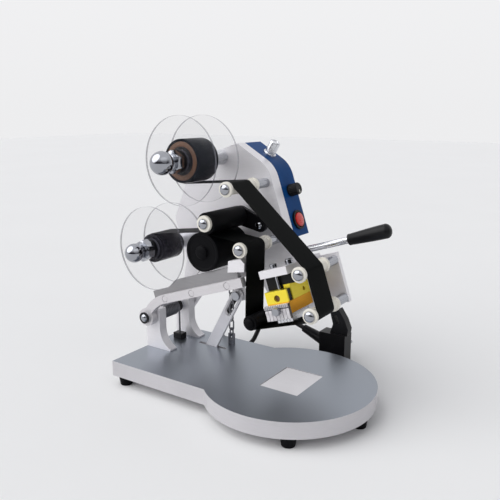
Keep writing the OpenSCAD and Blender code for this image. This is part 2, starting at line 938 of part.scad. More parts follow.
module switch_bezel() {
    color("black")
    head()
    difference() {
        union() {
            bar_x(plate_front, plate_front + bezel_t, panel_y, switch_h, bezel_r);
            bar_x(plate_front - barrel_l, plate_front + 1, panel_y, switch_h, rocker_r + barrel_t - slack);
        }
        bar_x(plate_front - barrel_in, plate_front + bezel_t + 1, panel_y, switch_h, rocker_r + gap);
        bar_y([plate_front - rocker_in, switch_h], panel_y - bezel_r, panel_y + bezel_r, rocker_pin + slack);
    }
}

module rocker() {
    color("red")
    head()
    translate([plate_front - rocker_in, panel_y, switch_h]) {
        intersection() {
            bar_x(-rocker_in, bezel_t + 6, 0, 0, rocker_r - 0.8);
            translate([bezel_t + 5 - rocker_crown, 0, 0]) sphere(rocker_crown, $fn = 96);
        }
        bar_y([0, 0], -rocker_r - 0.8, rocker_r + 0.8, rocker_pin);
    }
}

module temperature_knob() {
    color("black")
    head()
    difference() {
        union() {
            bar_x(plate_front + gap, plate_front + knob_l, panel_y, knob_h, knob_r);
            bar_x(plate_front - 12, plate_front + 1, panel_y, knob_h, knob_shaft);
        }
        translate([plate_front + knob_l - 1, panel_y - 0.6, knob_h]) cube([2, 1.2, knob_r + 1]);
    }
}

module gland() {
    color("black")
    head()
    translate([gland_x, panel_y, cover_low])
    difference() {
        union() {
            translate([0, 0, -4]) cylinder(h = 4, r = gland_r);
            translate([0, 0, -gland_l]) cylinder(h = gland_l, r1 = gland_r - 2.5, r2 = gland_r - 1);
            cylinder(h = cover_w + 3, r = gland_r - 2 - slack);
        }
        translate([0, 0, -gland_l - 1]) cylinder(h = gland_l + cover_w + 5, r = cord_r + slack);
    }
}

// Handle
grip_start = plate_front + handle_rod;
handle_y = plate_y + rim_d / 2;

module handle_rod() {
    color("silver")
    head()
    bar_x(plate_front - handle_seat + 5, grip_start + grip_l / 2, handle_y, handle_h, handle_r);
}

module handle_grip() {
    color("black")
    head()
    translate([grip_start, handle_y, handle_h])
    rotate([0, 90, 0])
    difference() {
        union() {
            cylinder(h = grip_l - grip_r / 2, r1 = grip_r - 1.5, r2 = grip_r);
            translate([0, 0, grip_l - grip_r]) sphere(grip_r);
        }
        translate([0, 0, -1]) cylinder(h = grip_l / 2 + 1, r = handle_r + slack);
    }
}

// Reels
module reel_spindles() {
    color("silver")
    head()
    for (p = [supply, takeup]) {
        bar_y(p, spindle_end, plate_y + rim_d - wide_gap, spindle_r);
        bar_y(p, hub_far + gap, plate_y, spindle_r + 3);
    }
}

module dome_nut(p, ball) {
    difference() {
        union() {
            translate([p[0], nut_y - nut_t, p[1]])
                rotate([-90, 0, 0]) cylinder(h = nut_t, r = nut_r, $fn = 6);
            bar_y(p, nut_y - nut_t - nut_neck, nut_y - nut_t + 1, spindle_r + 3);
            translate([p[0], nut_y - nut_t - nut_neck - ball + 3, p[1]]) sphere(ball);
        }
        bar_y(p, spindle_end - slack, nut_y + 1, spindle_r + slack);
    }
}

module dome_nuts() {
    color("gainsboro")
    head() {
        dome_nut(supply, ball_upper);
        dome_nut(takeup, ball_lower);
    }
}

module reel_discs(p) {
    for (y = [disc_near, disc_far])
        difference() {
            bar_y(p, y, y + reel_t, reel_r);
            bar_y(p, y - 1, y + reel_t + 1, hub_r + slack);
        }
}

// A hub whose barrel carries the roll between the discs
module reel_hub(p, barrel) {
    difference() {
        union() {
            bar_y(p, hub_near, hub_far, hub_r);
            bar_y(p, ribbon_near, ribbon_near + ribbon_w, barrel);
        }
        bar_y(p, hub_near - 1, hub_far + 1, spindle_r + slack);
    }
}

// A sleeve between the reel's discs
module reel_sleeve(p, inner, outer) {
    difference() {
        bar_y(p, ribbon_near, ribbon_near + ribbon_w, outer);
        bar_y(p, ribbon_near - 1, ribbon_near + ribbon_w + 1, inner);
    }
}

module supply_discs() {
    color("lavender", 0.4) head() reel_discs(supply);
}

module supply_hub() {
    color("black") head() reel_hub(supply, barrel_r);
}

module supply_core() {
    color("sienna") head() reel_sleeve(supply, barrel_r + slack, core_r);
}

module supply_roll() {
    color("darkslategray") head() reel_sleeve(supply, core_r + slack, roll_r);
}

module takeup_discs() {
    color("lavender", 0.4) head() reel_discs(takeup);
}

module takeup_hub() {
    color("black") head() reel_hub(takeup, hub_r);
}

module takeup_roll() {
    color("slategray") head() reel_sleeve(takeup, hub_r + slack, used_r);
}

// Rollers
module axle(p, r, near, far) {
    bar_y(p, near, plate_y + plate_t, r);
    bar_y(p, near - axle_head_t, near, r + axle_head_out);
    bar_y(p, far + gap, plate_y, r + post_out);
}

module roller_axles() {
    color("silver")
    head() {
        for (p = concat(rollers, [tail_roller]))
            axle(p, axle_r, axle_end, roller_far);
        axle(pinch, axle_r, pinch_near - flange_t - gap, pinch_far);
        axle(drum, drum_axle, drum_collar_y, wheel_y0 + wheel_w);
    }
}

module flanged_roller(p, r) {
    difference() {
        union() {
            bar_y(p, roller_near, roller_far, r);
            bar_y(p, roller_near, roller_near + flange_t, flange_r);
            bar_y(p, roller_far - flange_t, roller_far, flange_r);
        }
        bar_y(p, roller_near - 1, roller_far + 1, axle_r + slack);
    }
}

module roller_top() {
    color("ivory") head() flanged_roller(top_roller, roller_r);
}

module roller_rear() {
    color("ivory") head() flanged_roller(rear_roller, roller_r);
}

module roller_front() {
    color("ivory") head() flanged_roller(front_roller, roller_r);
}

module roller_nose() {
    color("ivory") head() flanged_roller(nose_roller, roller_r);
}

module roller_tail() {
    color("black") head() flanged_roller(tail_roller, tail_roller_r);
}

module pinch_roller() {
    color("black")
    head()
    difference() {
        union() {
            bar_y(pinch, pinch_near, pinch_far, pinch_r);
            bar_y(pinch, pinch_near - flange_t, pinch_near + 1, pinch_r - pinch_step);
        }
        bar_y(pinch, pinch_near - flange_t - 1, pinch_far + 1, axle_r + slack);
    }
}

// Rubber feed drum with its grooved chain wheel
module feed_drum() {
    color("black")
    head()
    difference() {
        union() {
            bar_y(drum, drum_near, drum_far, drum_r);
            bar_y(drum, drum_far - 1, wheel_y0 + 1, drum_axle + 3);
            bar_y(drum, wheel_y0, wheel_y0 + wheel_w, wheel_r - wheel_groove);
            for (y = [wheel_y0, wheel_y0 + wheel_w - 2])
                bar_y(drum, y, y + 2, wheel_r);
        }
        bar_y(drum, drum_near - 1, wheel_y0 + wheel_w + 1, drum_axle + slack);
    }
}

module ribbon_web() {
    color("black")
    head()
    slab(ribbon_near, ribbon_w)
    polygon(concat(ribbon_side(ribbon_t / 2), backwards(ribbon_side(-ribbon_t / 2))));
}

// Print head
rod_at = [
    [bracket_x + rod_inset + 9, heater_near + rod_inset],
    [bracket_x + rod_inset + 9, heater_near + heater_w - rod_inset]];
rod_in = 5;

module head_bracket() {
    color("whitesmoke")
    head()
    difference() {
        translate([bracket_x, heater_near, bracket_low])
            cube([bracket_l, plate_y - heater_near, bracket_t]);
        for (p = rod_at)
            translate([p[0], p[1], bracket_low - 1]) cylinder(h = bracket_t + 2, r = rod_r + slack);
        for (y = bracket_screw_y)
            translate([bracket_screw_x, y, bracket_low + 1])
                cylinder(h = bracket_t, r = screw_r + slack);
    }
}

module guide_rods() {
    color("gainsboro")
    head()
    for (p = rod_at)
        translate([p[0], p[1], bracket_top])
        screw(rod_r, rod_r + rod_head_out, cap_t, bracket_top - heater_top + rod_in - 0.5);
}

// Black insulator between the block and the bracket, and a strip between the block's two bars
block_x = bracket_x + (bracket_l - block_l) / 2;
block_near = heater_near + (heater_w - block_w) / 2;

module insulator() {
    color("black")
    head() {
        difference() {
            translate([block_x, block_near, heater_top])
                cube([block_l, block_w, bracket_low - heater_top]);
            translate([strip_x - gap, block_near - 1, heater_top - 1])
                cube([block_x + block_l, block_w + 2, heater_step + 1]);
        }
        translate([strip_x + gap, heater_near + near_bar_t + gap, heater_low])
            cube([strip_l - gap - strip_in, strip_w - 2 * gap, heater_h]);
    }
}

strip_x = heater_x + heater_l - strip_l;
rear_bar_in = near_bar_t + strip_w;

module heater_block() {
    color("gold")
    head()
    difference() {
        union() {
            translate([heater_x, heater_near, heater_low]) cube([heater_l, heater_w, heater_h]);
            translate([strip_x, heater_near + rear_bar_in, heater_low])
                cube([strip_l, heater_w - rear_bar_in, heater_h + heater_step]);
        }
        translate([strip_x, heater_near + near_bar_t, heater_low - 1])
            cube([strip_l + 1, strip_w, heater_h + heater_step + 2]);
        for (p = rod_at)
            translate([p[0], p[1], heater_top - rod_in])
                cylinder(h = rod_in + heater_step + 1, r = rod_r + slack);
        bar_y([heater_x + heater_l / 2, heater_low + heater_h / 2 - 1.5], heater_near - 1,
            heater_near + heater_w - 4, cartridge_r + slack);
        bar_x(heater_x + heater_l - 6, heater_x + heater_l + 1, heater_near + heater_w * 0.75,
            heater_low + probe_rise, probe_r);
    }
}

module heater_cartridge() {
    color("dimgray")
    head()
    bar_y([heater_x + heater_l / 2, heater_low + heater_h / 2 - 1.5], heater_near + cartridge_in,
        heater_near + heater_w - 4 - slack, cartridge_r);
}

module type_holder() {
    color("goldenrod")
    head()
    difference() {
        translate([heater_x, heater_near, holder_low]) cube([heater_l, heater_w, holder_h + gap]);
        translate([heater_x + type_margin, heater_near + type_margin, holder_low - 1])
            cube([heater_l - 2 * type_margin, heater_w - 2 * type_margin, type_in + 1]);
    }
}

module type_set() {
    color("silver")
    head()
    for (i = [0 : type_bars - 1]) {
        slot = (heater_l - 2 * type_margin) / type_bars;
        translate([heater_x + type_margin + gap / 2 + i * slot, heater_near + type_margin + gap, type_low])
            cube([slot - gap, heater_w - 2 * type_margin - 2 * gap, holder_low + type_in - type_low]);
    }
}

module clamp_plate() {
    color("silver")
    head()
    difference() {
        translate([heater_x - 3, heater_near - clamp_t, clamp_z - 6])
            cube([heater_l + 3, clamp_t, heater_low - clamp_z + 5]);
        bar_y([heater_x + heater_l / 2, clamp_z + 4], heater_near - clamp_t - 1, heater_near + 1,
            clamp_rod + slack);
    }
}

module clamp_screw() {
    color("gainsboro")
    head()
    difference() {
        union() {
            bar_y([heater_x + heater_l / 2, clamp_z + 4], heater_near - clamp_t - gap - clamp_l,
                heater_near - clamp_t - gap, clamp_r);
            bar_y([heater_x + heater_l / 2, clamp_z + 4], heater_near - clamp_t - gap - 1,
                heater_near - gap, clamp_rod);
        }
        for (a = [0 : 30 : 330])
            bar_y([heater_x + heater_l / 2, clamp_z + 4] + (clamp_r + 0.4) * [cos(a), sin(a)],
                heater_near - clamp_t - clamp_l - 2, heater_near - clamp_t, 1);
    }
}

// Mains cord: from the gland down to the table, a flat hank behind the base, and on to the plug
gland_end = raised([gland_x, cover_low - gland_l]);
gland_way = [sin(lift), 0, -cos(lift)];
gland_point = [gland_end[0], panel_y, gland_end[1]];
relief_way = [-cos(relief_rise), 0, sin(relief_rise)];
relief_point = [plug_x - plug_l / 2, plug_y, relief_z] + relief_l * relief_way;
hank_start = [hank_start_x, hank_y + hank_in, cord_r];
hank_end = [hank_x - hank_half, hank_y + hank_in + hank_step * hank_turns, cord_r];
drop_route = [
    gland_point,
    gland_point + 8 * gland_way,
    [-126.6, 91, 101],
    [-127.5, 92, 93],
    [-132, 93, 83.5],
    [-141, 94.5, 71],
    [-150, 96, 58],
    [-158, 97.2, 46.5],
    [-164, 97.8, 37],
    [-166.4, 98, 27],
    [-163.5, 98, 15.6],
    [-155, 98, cord_r + 3.5],
    hank_start - [cord_d, 0, -0.6],
    hank_start];
rise_route = [
    hank_end,
    hank_end + [cord_d, 0, 0],
    [-133, 116.4, cord_r + 1.6],
    [-127.6, 119, 10.6],
    [-124, 122, 19.4],
    [-121, 125.2, 28.8],
    [-116.5, 128.6, 37.6],
    [-109, 132.2, 44],
    [-99, 135.4, 46.6],
    [-88, 138, 45.6],
    [-77, 139.6, 42.2],
    relief_point + cord_d * relief_way,
    relief_point];

// A loop has 24 rings: a run of 3, a fold of 9, a run of 3 and a fold of 9
loop_rings = 24;
run_rings = 3;
fold_rings = 9;
half_rings = run_rings + fold_rings;
function hank_point(k) =
    let (r = hank_in + hank_step * k / loop_rings,
        s = k % loop_rings,
        back = s >= half_rings,
        side = back ? -1 : 1,
        q = back ? s - half_rings : s,
        along = q < run_rings ? -1 + 2 * q / run_rings : 1,
        turn = q < run_rings ? 0 : 180 * (q - run_rings) / fold_rings)
    [hank_x + side * (along * hank_half + r * sin(turn)), hank_y + side * r * cos(turn), cord_r];
hank_route = concat(
    [hank_start, hank_start + [cord_d, 0, 0]],
    [for (k = [1 : hank_turns * loop_rings - 1]) hank_point(k)],
    [hank_end - [cord_d, 0, 0], hank_end]);
function total(list, i = 0) = i < len(list) ? list[i] + total(list, i + 1) : 0;
function route_length(p) = total([for (i = [1 : len(p) - 1]) norm(p[i] - p[i - 1])]);

echo(cord_length = route_length(drop_route) + route_length(hank_route) + route_length(rise_route));
echo(hank_gap = least_gap(hank_route, cord_d, half_rings));
echo(spring_gap = least_gap(spring_path, 2 * wire_r, 5));

module cord() {
    color("black")
    placed() {
        tube(drop_route, cord_r, cord_sides, [0, 1, 0]);
        tube(rise_route, cord_r, cord_sides, [0, 1, 0]);
    }
}

module cord_hank() {
    color("black")
    placed()
    tube(hank_route, cord_r, 6, [0, 0, 1]);
}

// Plug with a strain relief on its side and a pierced grip above
module plug_body() {
    color("black")
    placed()
    translate([plug_x, plug_y, 0]) {
        translate([-plug_l / 2, -plug_w / 2, 0]) cube([plug_l, plug_w, plug_h]);
        translate([-plug_l / 2, 0, relief_z])
            rotate([0, relief_rise - 90, 0])
            translate([0, 0, -relief_r])
            cylinder(h = relief_l + relief_r, r1 = relief_r, r2 = cord_r + 2);
        slab(-arm_plug_w / 2, arm_plug_w) difference() {
            translate([0, plug_h]) polygon(plug_grip);
            translate([0, plug_h] + plug_hole_at) rotate(25) square(plug_hole, center = true);
        }
    }
}

module plug_pins() {
    color("silver")
    placed()
    for (side = [-1, 1])
        bar_y([plug_x + side * pin_gap / 2, plug_h / 2], plug_y + plug_w / 2, plug_y + plug_w / 2 + pin_l, pin_r);
}

// Joint places in the part's own frame
function joint_at(p) = [raised(p)[0] - mid_x, raised(p)[1]];
echo(mid = [mid_x, mid_y], pivot = [pivot_x - mid_x, pivot_z]);
echo(link = [link_x - mid_x, base_top - link_drop], pressed_lean = pressed_lean);
echo(ratio = (link_lean - pressed_lean) / lift);
echo(supply = joint_at(supply), takeup = joint_at(takeup), drum = joint_at(drum), pinch = joint_at(pinch));
echo(top = joint_at(top_roller), rear = joint_at(rear_roller), front = joint_at(front_roller));
echo(nose = joint_at(nose_roller), tail = joint_at(tail_roller));
echo(knob = joint_at([plate_front, knob_h]), switch = joint_at([plate_front, switch_h]));
echo(clamp = joint_at([heater_x + heater_l / 2, clamp_z + 4]), panel_y = panel_y - mid_y);

base_plate();
anvil_plate();
feet();
foot_screws();
uprights();
pivot_shaft();
pivot_collars();
return_spring();
spring_bushing();
spring_anchor();
link_base_pin();
chain_anchor();
chain();
cord();
cord_hank();
plug_body();
plug_pins();
link_bar();
main_plate();
near_arm();
cross_web();
frame_screws();
link_tab();
link_slot_pin();
cover();
cover_screws();
fuse_holder();
switch_bezel();
gland();
handle_rod();
handle_grip();
reel_spindles();
dome_nuts();
roller_axles();
head_bracket();
guide_rods();
insulator();
heater_block();
heater_cartridge();
type_holder();
type_set();
clamp_plate();
ribbon_web();
clamp_screw();
temperature_knob();
rocker();
supply_discs();
supply_hub();
supply_core();
supply_roll();
takeup_discs();
takeup_hub();
takeup_roll();
roller_top();
roller_rear();
roller_front();
roller_nose();
roller_tail();
pinch_roller();
feed_drum();
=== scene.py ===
"""Looks of a hand-operated ribbon coding machine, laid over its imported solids."""

import json
import math

import bmesh
import bpy
import numpy as np
from bpy.props import FloatProperty, FloatVectorProperty, IntProperty, PointerProperty
from bpy.types import Operator, Panel, PropertyGroup
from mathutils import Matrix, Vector


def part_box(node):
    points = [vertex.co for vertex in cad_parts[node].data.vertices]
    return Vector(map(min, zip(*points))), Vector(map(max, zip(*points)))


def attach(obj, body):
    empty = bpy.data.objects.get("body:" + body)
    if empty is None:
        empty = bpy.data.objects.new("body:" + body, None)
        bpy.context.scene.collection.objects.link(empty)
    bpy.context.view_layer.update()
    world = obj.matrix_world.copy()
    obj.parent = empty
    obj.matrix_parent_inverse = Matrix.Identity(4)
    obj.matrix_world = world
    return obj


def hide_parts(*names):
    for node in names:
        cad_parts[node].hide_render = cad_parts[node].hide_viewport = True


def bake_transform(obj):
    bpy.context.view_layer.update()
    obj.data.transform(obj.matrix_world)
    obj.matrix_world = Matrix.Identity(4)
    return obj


bl_info = {
    "name": "Ribbon coding machine",
    "version": (1, 0, 0),
    "blender": (4, 5, 0),
    "location": "3D View > Sidebar > Coder",
    "description": "Dresses a desk ribbon coding machine: finishes, reels, ribbon, lead and stage",
    "category": "Object",
}

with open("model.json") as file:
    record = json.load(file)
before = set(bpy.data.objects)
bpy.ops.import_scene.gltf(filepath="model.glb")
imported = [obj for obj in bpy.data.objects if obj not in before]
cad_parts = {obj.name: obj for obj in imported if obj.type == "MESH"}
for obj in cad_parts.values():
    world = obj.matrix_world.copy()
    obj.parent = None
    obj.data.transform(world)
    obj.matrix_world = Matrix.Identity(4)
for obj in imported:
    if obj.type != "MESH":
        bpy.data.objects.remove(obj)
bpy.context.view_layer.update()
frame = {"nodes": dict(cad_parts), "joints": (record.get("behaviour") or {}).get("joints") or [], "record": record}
NODES = frame["nodes"]
JOINTS = {joint["name"]: joint for joint in frame["joints"]}
BODY = {n: b for b, names in frame["record"]["behaviour"]["bodies"].items() for n in names}

# Machine sizes in millimetres, from the middle of the round front. Points of the level head are (x, height over the
# base's top). Panel, plate and ribbon are given by their y.
MIDDLE = np.array([-67.3805, 6.5, 0.0])
BASE_TOP = 30.0
PIVOT = np.array([-192.0, 41.0])
LIFT = math.radians(18.6)
PANEL_Y = 91.0
PLATE_FACE = 57.9
RIBBON_NEAR, RIBBON_FAR = -17.0, 19.0
PINCH_AXIS = (-61.851, 130.186)
LEVER_BOLT = (-38.0, 113.0)
ACROSS = (0, 1, 0)


def row(points):
    """Points measured from the round front's middle on the table, in the part's frame in metres."""
    return (np.asarray(points, float) - MIDDLE) / 1000.0


def lifted(points):
    """Points of the level head (x, y, height over the base), turned up about the pivot, in metres."""
    points = np.asarray(points, float)
    x, z = points[..., 0] - PIVOT[0], points[..., 2] - PIVOT[1]
    turned_x = PIVOT[0] + x * math.cos(LIFT) - z * math.sin(LIFT)
    turned_z = BASE_TOP + PIVOT[1] + z * math.cos(LIFT) + x * math.sin(LIFT)
    return row(np.stack([turned_x, points[..., 1], turned_z], axis=-1))


def level_way(x, y, z):
    """A direction of the level head, turned up with it."""
    c, s = math.cos(LIFT), math.sin(LIFT)
    return np.array([x * c - z * s, y, x * s + z * c])


def axle(joint):
    """Where a spin joint's axis crosses the reels' middle plane, in metres."""
    return np.array([JOINTS[joint]["pos_m"][0], 0.0, JOINTS[joint]["pos_m"][2]])


def spindle(joint):
    """Where a spin joint's axis crosses y = 0 of the sizes in millimetres, in metres."""
    return axle(joint) - [0, MIDDLE[1] / 1000, 0]


# Shader maths


class Wire:
    """A shader value that joins in Python arithmetic: each operation adds a Math node."""

    def __init__(self, finish, socket):
        self.finish = finish
        self.socket = socket

    def maths(self, operation, *values):
        return self.finish.node("Math", {"operation": operation}, dict(enumerate(values)))

    def __add__(self, other):
        return self.maths("ADD", self, other)

    def __sub__(self, other):
        return self.maths("SUBTRACT", self, other)

    def __rsub__(self, other):
        return self.maths("SUBTRACT", other, self)

    def __mul__(self, other):
        return self.maths("MULTIPLY", self, other)

    __radd__ = __add__
    __rmul__ = __mul__

    def ramp(self, low, high):
        """0 below low, 1 above high and a straight ramp between them."""
        return self.finish.node("MapRange", {"clamp": True}, {0: self, 1: low, 2: high, 3: 0.0, 4: 1.0})


class Tree:
    """A node tree that adds nodes by type, settings and inputs."""

    def __init__(self, tree):
        self.tree = tree

    def node(self, kind, settings, sockets, output=0):
        made = self.tree.nodes.new("ShaderNode" + kind)
        for key, value in settings.items():
            setattr(made, key, value)
        for key, value in sockets.items():
            self.feed(made.inputs[key], value)
        return Wire(self, made.outputs[output])

    def feed(self, socket, value):
        if isinstance(value, Wire):
            self.tree.links.new(value.socket, socket)
        else:
            socket.default_value = value

    def blend(self, share, first, second):
        return self.node("Mix", {"data_type": "RGBA"}, {0: share, 6: first, 7: second}, 2)


class Finish(Tree):
    """One material: a Principled shader, fixed values on its sockets and a few nodes before it."""

    def __init__(self, name, **fixed):
        self.material = bpy.data.materials.new(name)
        self.material.use_nodes = True
        super().__init__(self.material.node_tree)
        self.shader = self.tree.nodes["Principled BSDF"]
        self.set(**fixed)

    def here(self):
        return self.node("TexCoord", {}, {}, "Object")

    def stretched(self, scale, turn):
        return self.node("Mapping", {}, {"Vector": self.here(), "Scale": scale, "Rotation": turn})

    def along(self, scale):
        return self.node("Mapping", {}, {"Vector": self.node("UVMap", {}, {}), "Scale": scale})

    def noise(self, where, scale, detail=3.0, rough=0.55):
        return self.node("TexNoise", {}, {"Vector": where, "Scale": scale, "Detail": detail, "Roughness": rough})

    def set(self, **sockets):
        for name, value in sockets.items():
            self.feed(self.shader.inputs[name.replace("_", " ")], value)

    def bump(self, height, depth, strength=1.0):
        made = self.node("Bump", {}, {"Strength": strength, "Distance": depth, "Height": height}, "Normal")
        self.set(Normal=made)


def shade(colour, factor):
    """A colour with an alpha of 1, made lighter or darker."""
    return tuple(min(1.0, c * factor) for c in colour[:3]) + (1.0,)


def metal(name, colour, rough, lines, turn=(0.0, 0.0, 0.0), contrast=0.10, depth=3e-6, bare=1.0):
    """Metal with a fine directional grain, broad clouds in its tone and a roughness that follows both."""
    f = Finish(name, Metallic=bare)
    grain = f.noise(f.stretched(lines, turn), 1.0, 4.0, 0.6)
    cloud = f.noise(f.here(), 22.0, 2.0)
    tone = grain * 0.6 + cloud * 0.4
    f.set(
        Base_Color=f.blend(tone.ramp(0.3, 0.7), shade(colour, 1 - contrast), shade(colour, 1 + contrast)),
        Roughness=(grain - 0.5) * 0.14 + (cloud - 0.5) * 0.10 + rough,
    )
    f.bump(grain, depth)
    return f.material


def moulding(name, colour, rough, grain=1800.0, depth=4e-5, contrast=0.2, coat=0.0, gloss=0.5):
    """Moulded plastic or rubber: pebbled skin, faint clouds of handling wear and an uneven gloss."""
    f = Finish(name, Coat_Weight=coat, Coat_Roughness=0.12, Specular_IOR_Level=gloss)
    pebble = f.noise(f.here(), grain, 2.0)
    cloud = f.noise(f.here(), 45.0, 4.0)
    f.set(
        Base_Color=f.blend(cloud.ramp(0.3, 0.7), shade(colour, 1 - contrast), shade(colour, 1 + contrast)),
        Roughness=(cloud - 0.5) * 0.22 + (pebble - 0.5) * 0.1 + rough,
    )
    f.bump(pebble, depth)
    return f.material


def powder_coat(name, colour):
    """Satin blue powder coat with orange peel and a slightly rubbed tone."""
    f = Finish(name, Specular_IOR_Level=0.06)
    peel = f.noise(f.here(), 900.0, 2.0)
    rub = f.noise(f.here(), 30.0, 5.0)
    f.set(
        Base_Color=f.blend(rub.ramp(0.35, 0.75), shade(colour, 0.9), shade(colour, 1.18)),
        Roughness=(rub - 0.5) * 0.15 + 0.36,
    )
    f.bump(peel, 3e-5)
    return f.material


def clear_sheet(name, colour, cover, rough=0.05):
    """Clear acrylic: a thin tint with the gloss of its faces and a little haze from handling."""
    f = Finish(name, IOR=1.49, Specular_IOR_Level=0.6)
    haze = f.noise(f.here(), 60.0, 5.0)
    f.set(
        Base_Color=f.blend(haze, shade(colour, 0.94), shade(colour, 1.0)),
        Alpha=(haze - 0.5) * 0.4 * cover + cover,
        Roughness=(haze - 0.5) * 0.06 + rough,
    )
    f.material.surface_render_method = "BLENDED"
    return f.material


def wound_film(name, colour, centre, rough, gloss):
    """A wound roll: fine rings about its axis on the ends, seen as lighter and darker edges of film."""
    f = Finish(name, Specular_IOR_Level=gloss)
    x, z = (f.node("SeparateXYZ", {}, {0: f.here()}, axis) - float(centre[axis]) for axis in (0, 2))
    square = x * x + z * z
    radius = square.maths("SQRT", square)
    rings = f.noise(f.node("CombineXYZ", {}, {0: radius * 2600.0}), 1.0, 3.0)
    cloud = f.noise(f.here(), 35.0, 3.0)
    f.set(
        Base_Color=f.blend(rings.ramp(0.35, 0.7), shade(colour, 0.7), shade(colour, 1.5)),
        Roughness=(cloud - 0.5) * 0.2 + rough,
    )
    f.bump(rings, 6e-5)
    return f.material


def film(name, colour):
    """Satin carbon film: long faint streaks along its run and soft cockles."""
    f = Finish(name, Specular_IOR_Level=0.03)
    streak = f.noise(f.along((3.0, 60.0, 1.0)), 1.0, 4.0)
    cockle = f.noise(f.along((55.0, 3.0, 1.0)), 1.0, 2.0)
    f.set(
        Base_Color=f.blend(streak.ramp(0.3, 0.7), shade(colour, 0.75), shade(colour, 1.5)),
        Roughness=(streak - 0.5) * 0.2 + 0.5,
    )
    f.bump(cockle, 3e-4, 0.35)
    return f.material


def sheath(name, colour):
    """Cord sheath: matt, with faint rings round it where it was drawn."""
    f = Finish(name)
    ring = f.noise(f.along((700.0, 2.0, 1.0)), 1.0, 2.0)
    f.set(
        Base_Color=f.blend(ring.ramp(0.3, 0.7), shade(colour, 0.8), shade(colour, 1.3)),
        Roughness=(ring - 0.5) * 0.2 + 0.5,
    )
    f.bump(ring, 3e-5)
    return f.material


def panel_colour(name, description, default):
    """A colour that the panel shows."""
    return FloatVectorProperty(name=name, description=description, subtype="COLOR", size=3, default=default)


class CoderLooks(PropertyGroup):
    """Sizes and colours that a user would change."""

    edge: FloatProperty(name="Edge round", description="Rounding of machined edges", default=0.0005, unit="LENGTH")
    sides: IntProperty(name="Round sides", description="Sides of a turned piece", default=72, min=24, max=160)
    knob_ribs: IntProperty(name="Knob ribs", description="Ribs round the knob", default=22, min=8, max=40)
    blue: panel_colour("Cover blue", "Powder coat", (0.005, 0.056, 0.20))
    red: panel_colour("Rocker red", "Rocker's plastic", (0.62, 0.018, 0.012))
    brass: panel_colour("Brass", "Heater block", (0.95, 0.77, 0.06))
    bronze: panel_colour("Type holder", "Heat-toned brass", (0.82, 0.38, 0.015))
    # The top of the base is the sides' silver made darker and bluer: painted shade on its top faces.
    base_top: panel_colour("Base top", "Lacquered top of the base", (0.287, 0.312, 0.353))
    alloy: panel_colour("Alloy", "Polished frame parts", (0.80, 0.785, 0.81))
    black: panel_colour("Black", "Rubber and mouldings", (0.004, 0.004, 0.005))


MADE = {}


def finish(name):
    """The finish of that name, made once from the panel's colours."""
    looks = bpy.context.scene.coder_looks
    tilt = (0.0, LIFT, 0.0)
    makers = {
        # The base's top: the casting's silver, darker and bluer as painted shade.
        "base_top": lambda n: metal(
            n, looks.base_top, 0.33, (50.0, 1500.0, 1500.0), contrast=0.05, depth=1e-6, bare=0.9
        ),
        "base_side": lambda n: metal(
            n, (0.575, 0.563, 0.585), 0.36, (90.0, 90.0, 2400.0), contrast=0.08, bare=0.4
        ),
        "alloy": lambda n: metal(n, looks.alloy, 0.42, (70.0, 900.0, 900.0), tilt, 0.04, bare=0.4),
        "alloy_matt": lambda n: metal(n, (0.66, 0.64, 0.66), 0.40, (80.0, 900.0, 900.0), tilt, 0.06, bare=0.5),
        # A dark grey copy of the frame alloy: painted shade on the cross web.
        "alloy_grey": lambda n: metal(n, (0.30, 0.295, 0.305), 0.42, (80.0, 900.0, 900.0), tilt, 0.08, bare=0.5),
        "steel": lambda n: metal(n, (0.66, 0.67, 0.70), 0.26, (900.0, 120.0, 900.0)),
        # Dark steel of the chain and the spring, also used as painted shade in the type end plate's recesses.
        "dark_steel": lambda n: metal(n, (0.22, 0.22, 0.24), 0.38, (500.0, 500.0, 500.0), contrast=0.2),
        "chrome": lambda n: metal(n, (0.36, 0.37, 0.40), 0.08, (300.0, 300.0, 300.0), contrast=0.03),
        "brass": lambda n: metal(n, looks.brass, 0.40, (1200.0, 80.0, 1200.0), contrast=0.06, bare=0.65),
        "bronze": lambda n: metal(n, looks.bronze, 0.36, (1200.0, 80.0, 1200.0), bare=0.75),
        "rubber": lambda n: moulding(n, looks.black, 0.50, 2200.0, 3e-5, gloss=0.06),
        "black": lambda n: moulding(n, shade(looks.black, 1.2), 0.36, 1500.0, 2e-5, coat=0.03, gloss=0.18),
        "cream": lambda n: moulding(n, (0.80, 0.77, 0.69), 0.34, 1200.0, 1e-5, 0.06),
        "red": lambda n: moulding(n, looks.red, 0.28, 700.0, 1e-5, 0.15, 0.3),
        "brown": lambda n: moulding(n, (0.13, 0.062, 0.032), 0.55, 900.0, 6e-5, 0.3),
        "blue": lambda n: powder_coat(n, looks.blue),
        "clear": lambda n: clear_sheet(n, (0.18, 0.17, 0.21), 0.035),
        "clear_rim": lambda n: clear_sheet(n, (0.22, 0.22, 0.27), 0.55, 0.12),
        "film": lambda n: film(n, (0.0015, 0.002, 0.002)),
        "sheath": lambda n: sheath(n, looks.black),
        "full_roll": lambda n: wound_film(n, (0.003, 0.006, 0.009), axle("supply_spin"), 0.36, 0.06),
        "used_roll": lambda n: wound_film(n, (0.005, 0.005, 0.009), axle("takeup_spin"), 0.28, 0.2),
    }
    if name not in MADE:
        MADE[name] = makers[name](name)
    return MADE[name]


# Shapes


def placed(name, data):
    """A new object in the scene."""
    made = bpy.data.objects.new(name, data)
    bpy.context.scene.collection.objects.link(made)
    return made


